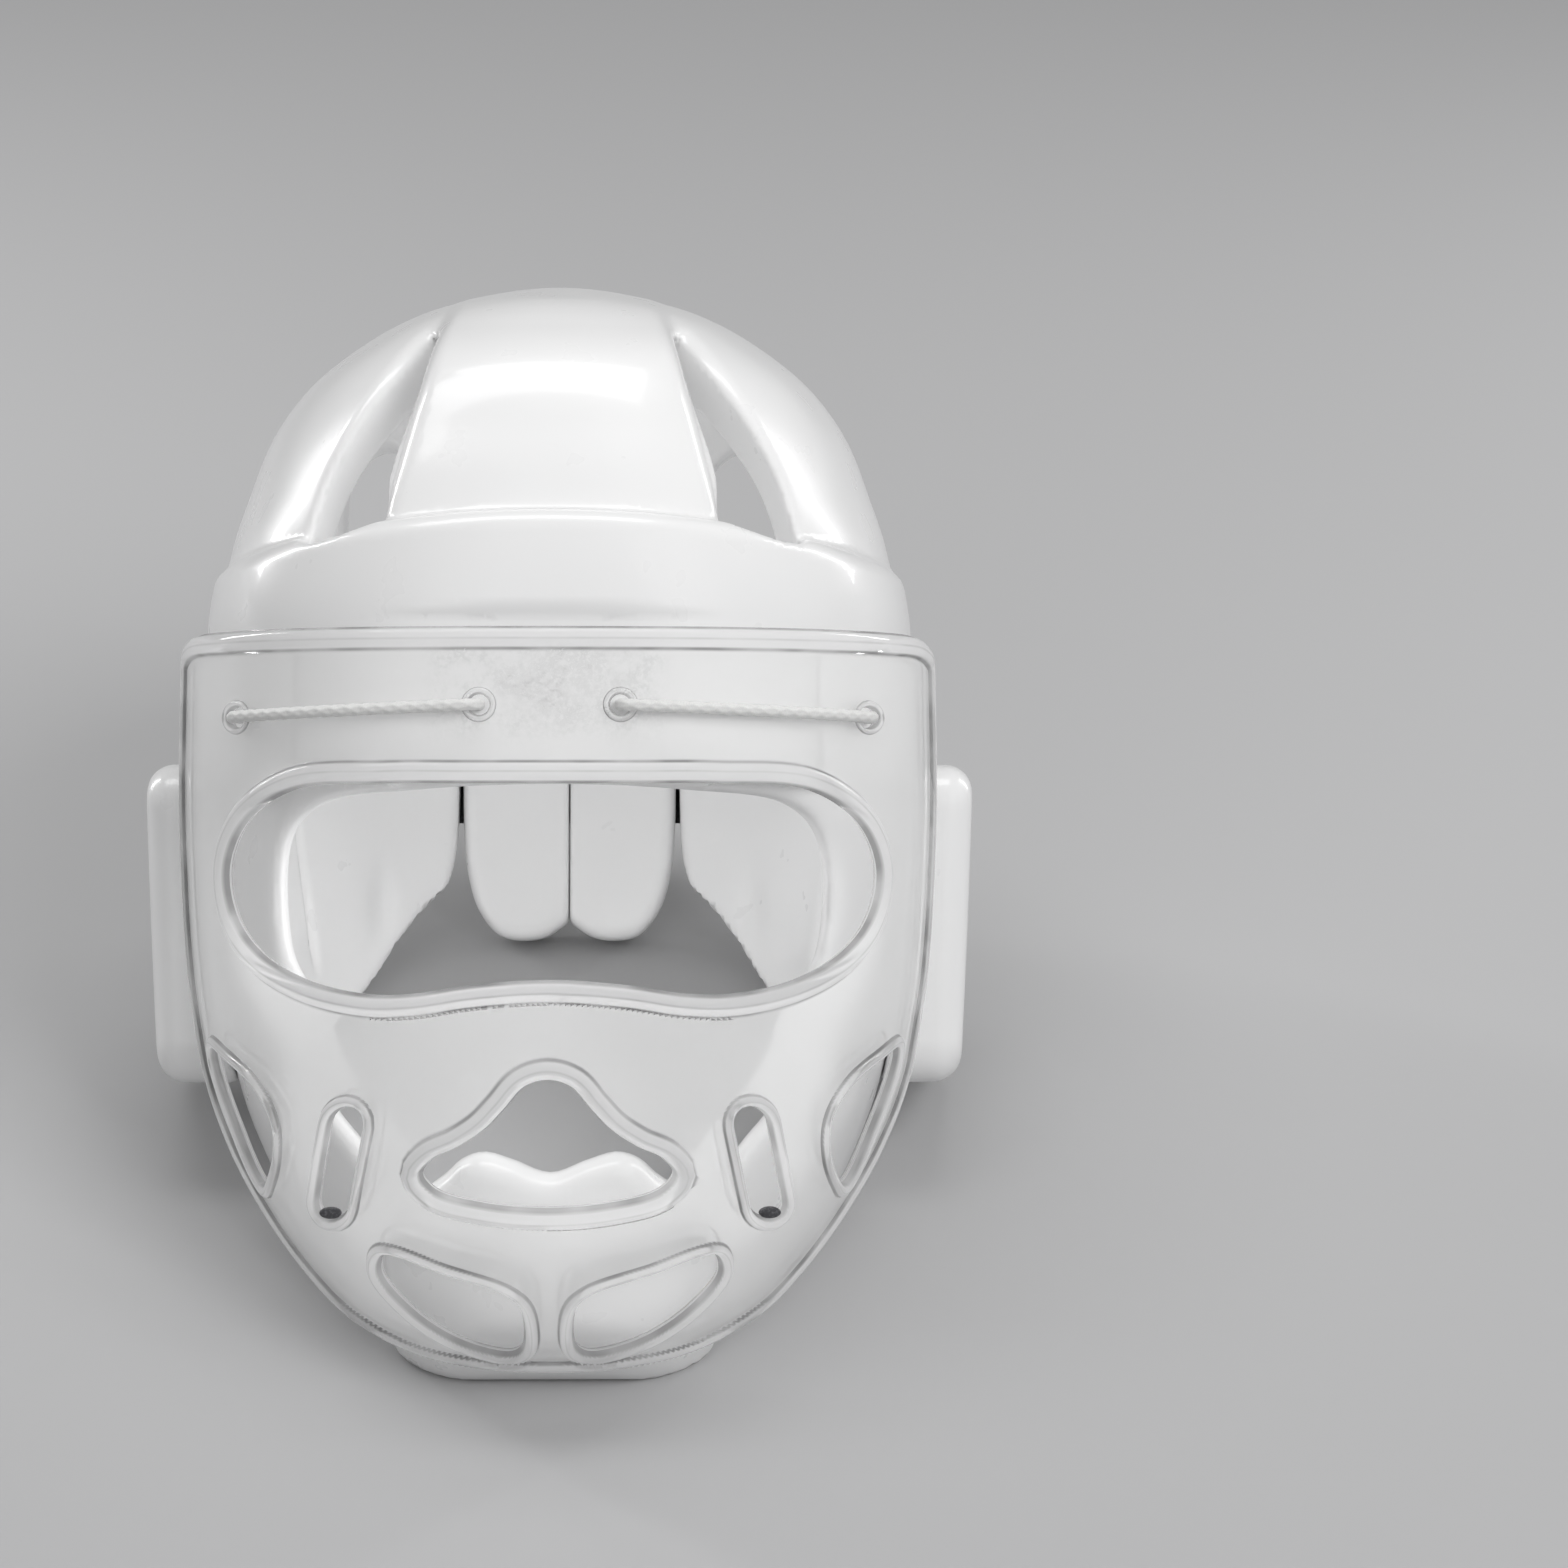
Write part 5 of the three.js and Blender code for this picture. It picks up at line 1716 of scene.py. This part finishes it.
@dataclass
class SlotStud:
    """The small dark oval stud at the foot of a slanted slot."""

    seat: Seat
    hand: Hand
    width: float = 5.6
    height: float = 3.0
    head: float = 1.6
    shank_share: float = 0.9
    brim_share: float = 0.45
    steps: int = 7
    sides: int = 40

    def make(self, finish: bpy.types.Material) -> None:
        """Build the stud: a domed oval head on a straight shank.

        Args:
            finish: Its material.
        """
        down = (SLOT.length - self.height) / 2 - SIZES.clearance * 2.5
        x, z = self.hand.value * (SLOT.x + SLOT.lean * down), SLOT.z - down
        y = float(shield_stack().front_y(np.array(x), np.array(z)))
        angles = np.linspace(0, 2 * math.pi, self.sides, endpoint=False)
        shank, brim = self.shank_share, self.brim_share
        levels = [(y + SHIELD.sheet, shank), (y + 0.2, shank), (y, 0.97), (y - self.head * brim, 1.0)]
        for step in range(1, self.steps):
            bend = math.pi / 2 * step / self.steps
            levels.append((y - self.head * (brim + (1 - brim) * math.sin(bend)), math.cos(bend)))
        points = [
            (x + share * self.width / 2 * math.cos(a), level, z + share * self.height / 2 * math.sin(a))
            for level, share in levels for a in angles
        ]
        points += [(x, y + SHIELD.sheet, z), (x, y - self.head, z)]
        skin = SkinMesh(np.array(points), tube_faces(len(levels), self.sides), np.empty(0))
        name = f"cheek_rivet_{self.hand.word}"
        self.seat.piece(f"slot_stud_{self.hand.word}", skin, finish, "stud", [name])


@dataclass
class RearElastic:
    """The black elastic band round the back of the sides."""

    seat: Seat
    bottom: float = 141.0
    width: float = 38.0
    thickness: float = 2.0
    end: float = 46.0
    ribs: int = 12
    rib_depth: float = 0.22
    groove: float = 0.35
    selvedge: float = 0.6
    across: int = 48
    around: int = 150

    def make(self, finish: bpy.types.Material) -> None:
        """Build the band: ribbed along its length, with rounded selvedges and plain ends.

        Args:
            finish: Its material.
        """
        stack = SectionStack(foam_rows())
        z = np.linspace(self.bottom, self.bottom + self.width, self.across + 1)
        turns = np.linspace(-1, 1, self.around + 1)
        outer, inner = [], []
        for level in z:
            side, _, n = (float(part) for part in stack.profile(level))
            back = side / float(np.interp(level, stack.z, stack.back_ratio))
            limit = math.acos((self.end / back) ** (n / 2))
            angle = turns * limit
            x = side * np.sign(np.sin(angle)) * np.abs(np.sin(angle)) ** (2 / n)
            y = back * np.abs(np.cos(angle)) ** (2 / n)
            base = np.stack([x, y, np.full_like(x, level)], axis=1)
            _, nx, ny, nz = stack.measure(*base.T)
            normal = np.stack([nx, ny, nz], axis=1)
            normal /= np.linalg.norm(normal, axis=1, keepdims=True)
            share = (level - self.bottom) / self.width
            rib = self.rib_depth * abs(math.sin(math.pi * self.ribs * share)) ** 0.6
            round_off = self.selvedge * (1 - min(1.0, 12 * min(share, 1 - share))) ** 2
            height = self.thickness - self.groove + rib - round_off
            outer.append(base + normal * (SIZES.clearance + height))
            inner.append(base + normal * (SIZES.clearance + round_off * 0.4))
        rows, columns = self.across + 1, self.around + 1
        points = np.vstack([*outer, *inner])
        offset = rows * columns
        faces = []
        for r in range(rows - 1):
            for k in range(columns - 1):
                a = r * columns + k
                quad = [a, a + 1, a + columns + 1, a + columns]
                faces.append(quad[::-1])
                faces.append([offset + i for i in quad])
        rim = list(range(columns))
        rim += [r * columns + columns - 1 for r in range(1, rows)]
        rim += [(rows - 1) * columns + k for k in range(columns - 2, -1, -1)]
        rim += [r * columns for r in range(rows - 2, 0, -1)]
        for a, b in zip(rim, rim[1:] + rim[:1]):
            faces.append([a, b, b + offset, a + offset])
        skin = SkinMesh(points, faces, np.empty(0))
        self.seat.piece("rear_elastic", skin, finish, "elastic", ["rear_strap"])


# Studio


def axes_of(back: np.ndarray, up: tuple[float, float, float]) -> np.ndarray:
    """The three axes, as columns, of a camera or lamp that looks away from a direction."""
    right = np.cross(up, back)
    right /= np.linalg.norm(right)
    return np.stack([right, np.cross(back, right), back], axis=1)


class SoftLamp(NamedTuple):
    """A soft rectangular lamp, placed in upright metres about the guard's middle."""

    name: str
    place: tuple[float, float, float]
    size: tuple[float, float]
    watts: float
    mirrored: bool = True


LAMPS = (
    SoftLamp("top_softbox", (-0.15, -0.4, 1.3), (1.3, 0.45), 7.5),
    SoftLamp("key_softbox", (1.1, -1.7, 0.65), (1.0, 1.0), 25.0, mirrored=False),
    SoftLamp("fill_softbox", (-0.7, -1.9, 0.1), (1.2, 1.0), 6.5, mirrored=False),
    SoftLamp("left_strip", (-0.8, 0.33, 0.52), (0.07, 0.6), 2.8),
    SoftLamp("right_strip", (0.8, 0.33, 0.52), (0.07, 0.6), 1.6),
)


@dataclass
class Studio:
    """Floor, soft lights and the camera before the upright guard's face."""

    seat: Seat
    distance: float = 1400.0
    scale: float = 0.27
    image: float = 1568.0
    centre_px: float = 561.5
    level_px: float = 830.0
    level: float = 139.0
    yaw: float = math.radians(1.4)
    sensor: float = 36.0
    lamp_middle: float = 150.0
    glow: float = 0.15
    glow_place: tuple[float, ...] = (-22.0, -38.0, 122.0)
    glow_radius: float = 0.03
    floor_half: float = 6.0
    sky: tuple[float, ...] = (0.93, 0.93, 0.93, 1.0)
    sky_strength: float = 0.22

    def camera(self) -> None:
        """Set the camera at the photograph's angle to the guard."""
        aim = np.array([
            (self.image / 2 - self.centre_px) * self.scale, 0.0,
            self.level + (self.level_px - self.image / 2) * self.scale,
        ])
        eye = np.array([self.distance * math.tan(self.yaw), -self.distance, self.level])
        back = (eye - aim) / np.linalg.norm(eye - aim)
        basis = axes_of(back, (0.0, 0.0, 1.0))
        data = bpy.data.cameras.new("camera")
        data.sensor_width = self.sensor
        data.lens = self.sensor * self.distance / (self.image * self.scale)
        data.clip_end = 20.0
        camera = bpy.data.objects.new("camera", data)
        pose = Matrix((self.seat.turn @ basis).tolist()).to_4x4()
        pose.translation = self.seat.place(eye[None])[0].tolist()
        camera.matrix_world = pose
        bpy.context.scene.collection.objects.link(camera)
        bpy.context.scene.camera = camera

    def hang(self, soft: SoftLamp) -> None:
        """Hang a lamp so that it faces the guard.

        Args:
            soft: The lamp.
        """
        data = bpy.data.lights.new(soft.name, "AREA")
        data.shape = "RECTANGLE"
        data.size, data.size_y = soft.size
        data.energy = soft.watts
        lamp = bpy.data.objects.new(soft.name, data)
        lamp.visible_glossy = soft.mirrored
        lamp.visible_transmission = soft.mirrored
        middle = np.array([0.0, 0.0, self.lamp_middle])
        spot = np.array(soft.place) / MILLIMETRE + middle
        start, target = self.seat.place(np.stack([spot, middle]))
        back = (start - target) / np.linalg.norm(start - target)
        up = (0.0, 0.0, 1.0) if abs(back[2]) < 0.9 else (0.0, 1.0, 0.0)
        pose = Matrix(axes_of(back, up).tolist()).to_4x4()
        pose.translation = start.tolist()
        lamp.matrix_world = pose
        bpy.context.scene.collection.objects.link(lamp)

    def glow_inside(self, pieces: list[bpy.types.Object]) -> None:
        """Light the hollow softly from within, for the guard's own pieces alone.

        Args:
            pieces: The pieces that the light falls on.
        """
        data = bpy.data.lights.new("hollow_fill", "POINT")
        data.energy = self.glow
        data.shadow_soft_size = self.glow_radius
        lamp = bpy.data.objects.new("hollow_fill", data)
        lamp.visible_camera = False
        lamp.visible_glossy = False
        lamp.visible_transmission = False
        lamp.location = self.seat.place(np.array([self.glow_place]))[0].tolist()
        lit = bpy.data.collections.new("lit_from_inside")
        for piece in pieces:
            lit.objects.link(piece)
        lamp.light_linking.receiver_collection = lit
        bpy.context.scene.collection.objects.link(lamp)

    def make(self, finish: bpy.types.Material) -> None:
        """Set up floor, light and camera.

        Args:
            finish: The floor's material.
        """
        self.camera()
        mesh = bpy.data.meshes.new("floor")
        half = self.floor_half
        corners = [(-half, -half, 0), (half, -half, 0), (half, half, 0), (-half, half, 0)]
        mesh.from_pydata(corners, [], [(0, 1, 2, 3)])
        mesh.materials.append(finish)
        floor = bpy.data.objects.new("floor", mesh)
        bpy.context.scene.collection.objects.link(floor)
        for soft in LAMPS:
            self.hang(soft)
        world = bpy.data.worlds.new("studio")
        world.use_nodes = True
        sky = world.node_tree.nodes["Background"]
        sky.inputs["Color"].default_value = self.sky
        sky.inputs["Strength"].default_value = self.sky_strength
        bpy.context.scene.world = world
        bpy.context.scene.view_settings.view_transform = "Standard"


def main() -> None:
    """Build every piece of the guard, then the studio round it."""
    logging.basicConfig(level=logging.INFO, format="%(name)s: %(message)s")
    seat = Seat()
    studio = Studio(seat)
    studio.make(PaleFloor().make())
    vinyl = VinylDip().make()
    foam = FoamSkin(seat)
    foam.make(vinyl)
    for hand in Hand:
        NapeLobe(seat, hand, foam).make(vinyl)
        EarPad(seat, hand, foam).make(vinyl)
    FaceShield(seat).make(ClearPlastic().make())
    cord, stud = BraidedCord().make(), DarkStud().make()
    for hand in Hand:
        Lace(seat, hand).make(cord)
        SlotStud(seat, hand).make(stud)
    RearElastic(seat).make(WovenElastic().make())
    meshes = [piece for piece in bpy.data.objects if piece.type == "MESH"]
    studio.glow_inside([piece for piece in meshes if piece.name != "floor"])


if __name__ == "__main__":
    main()
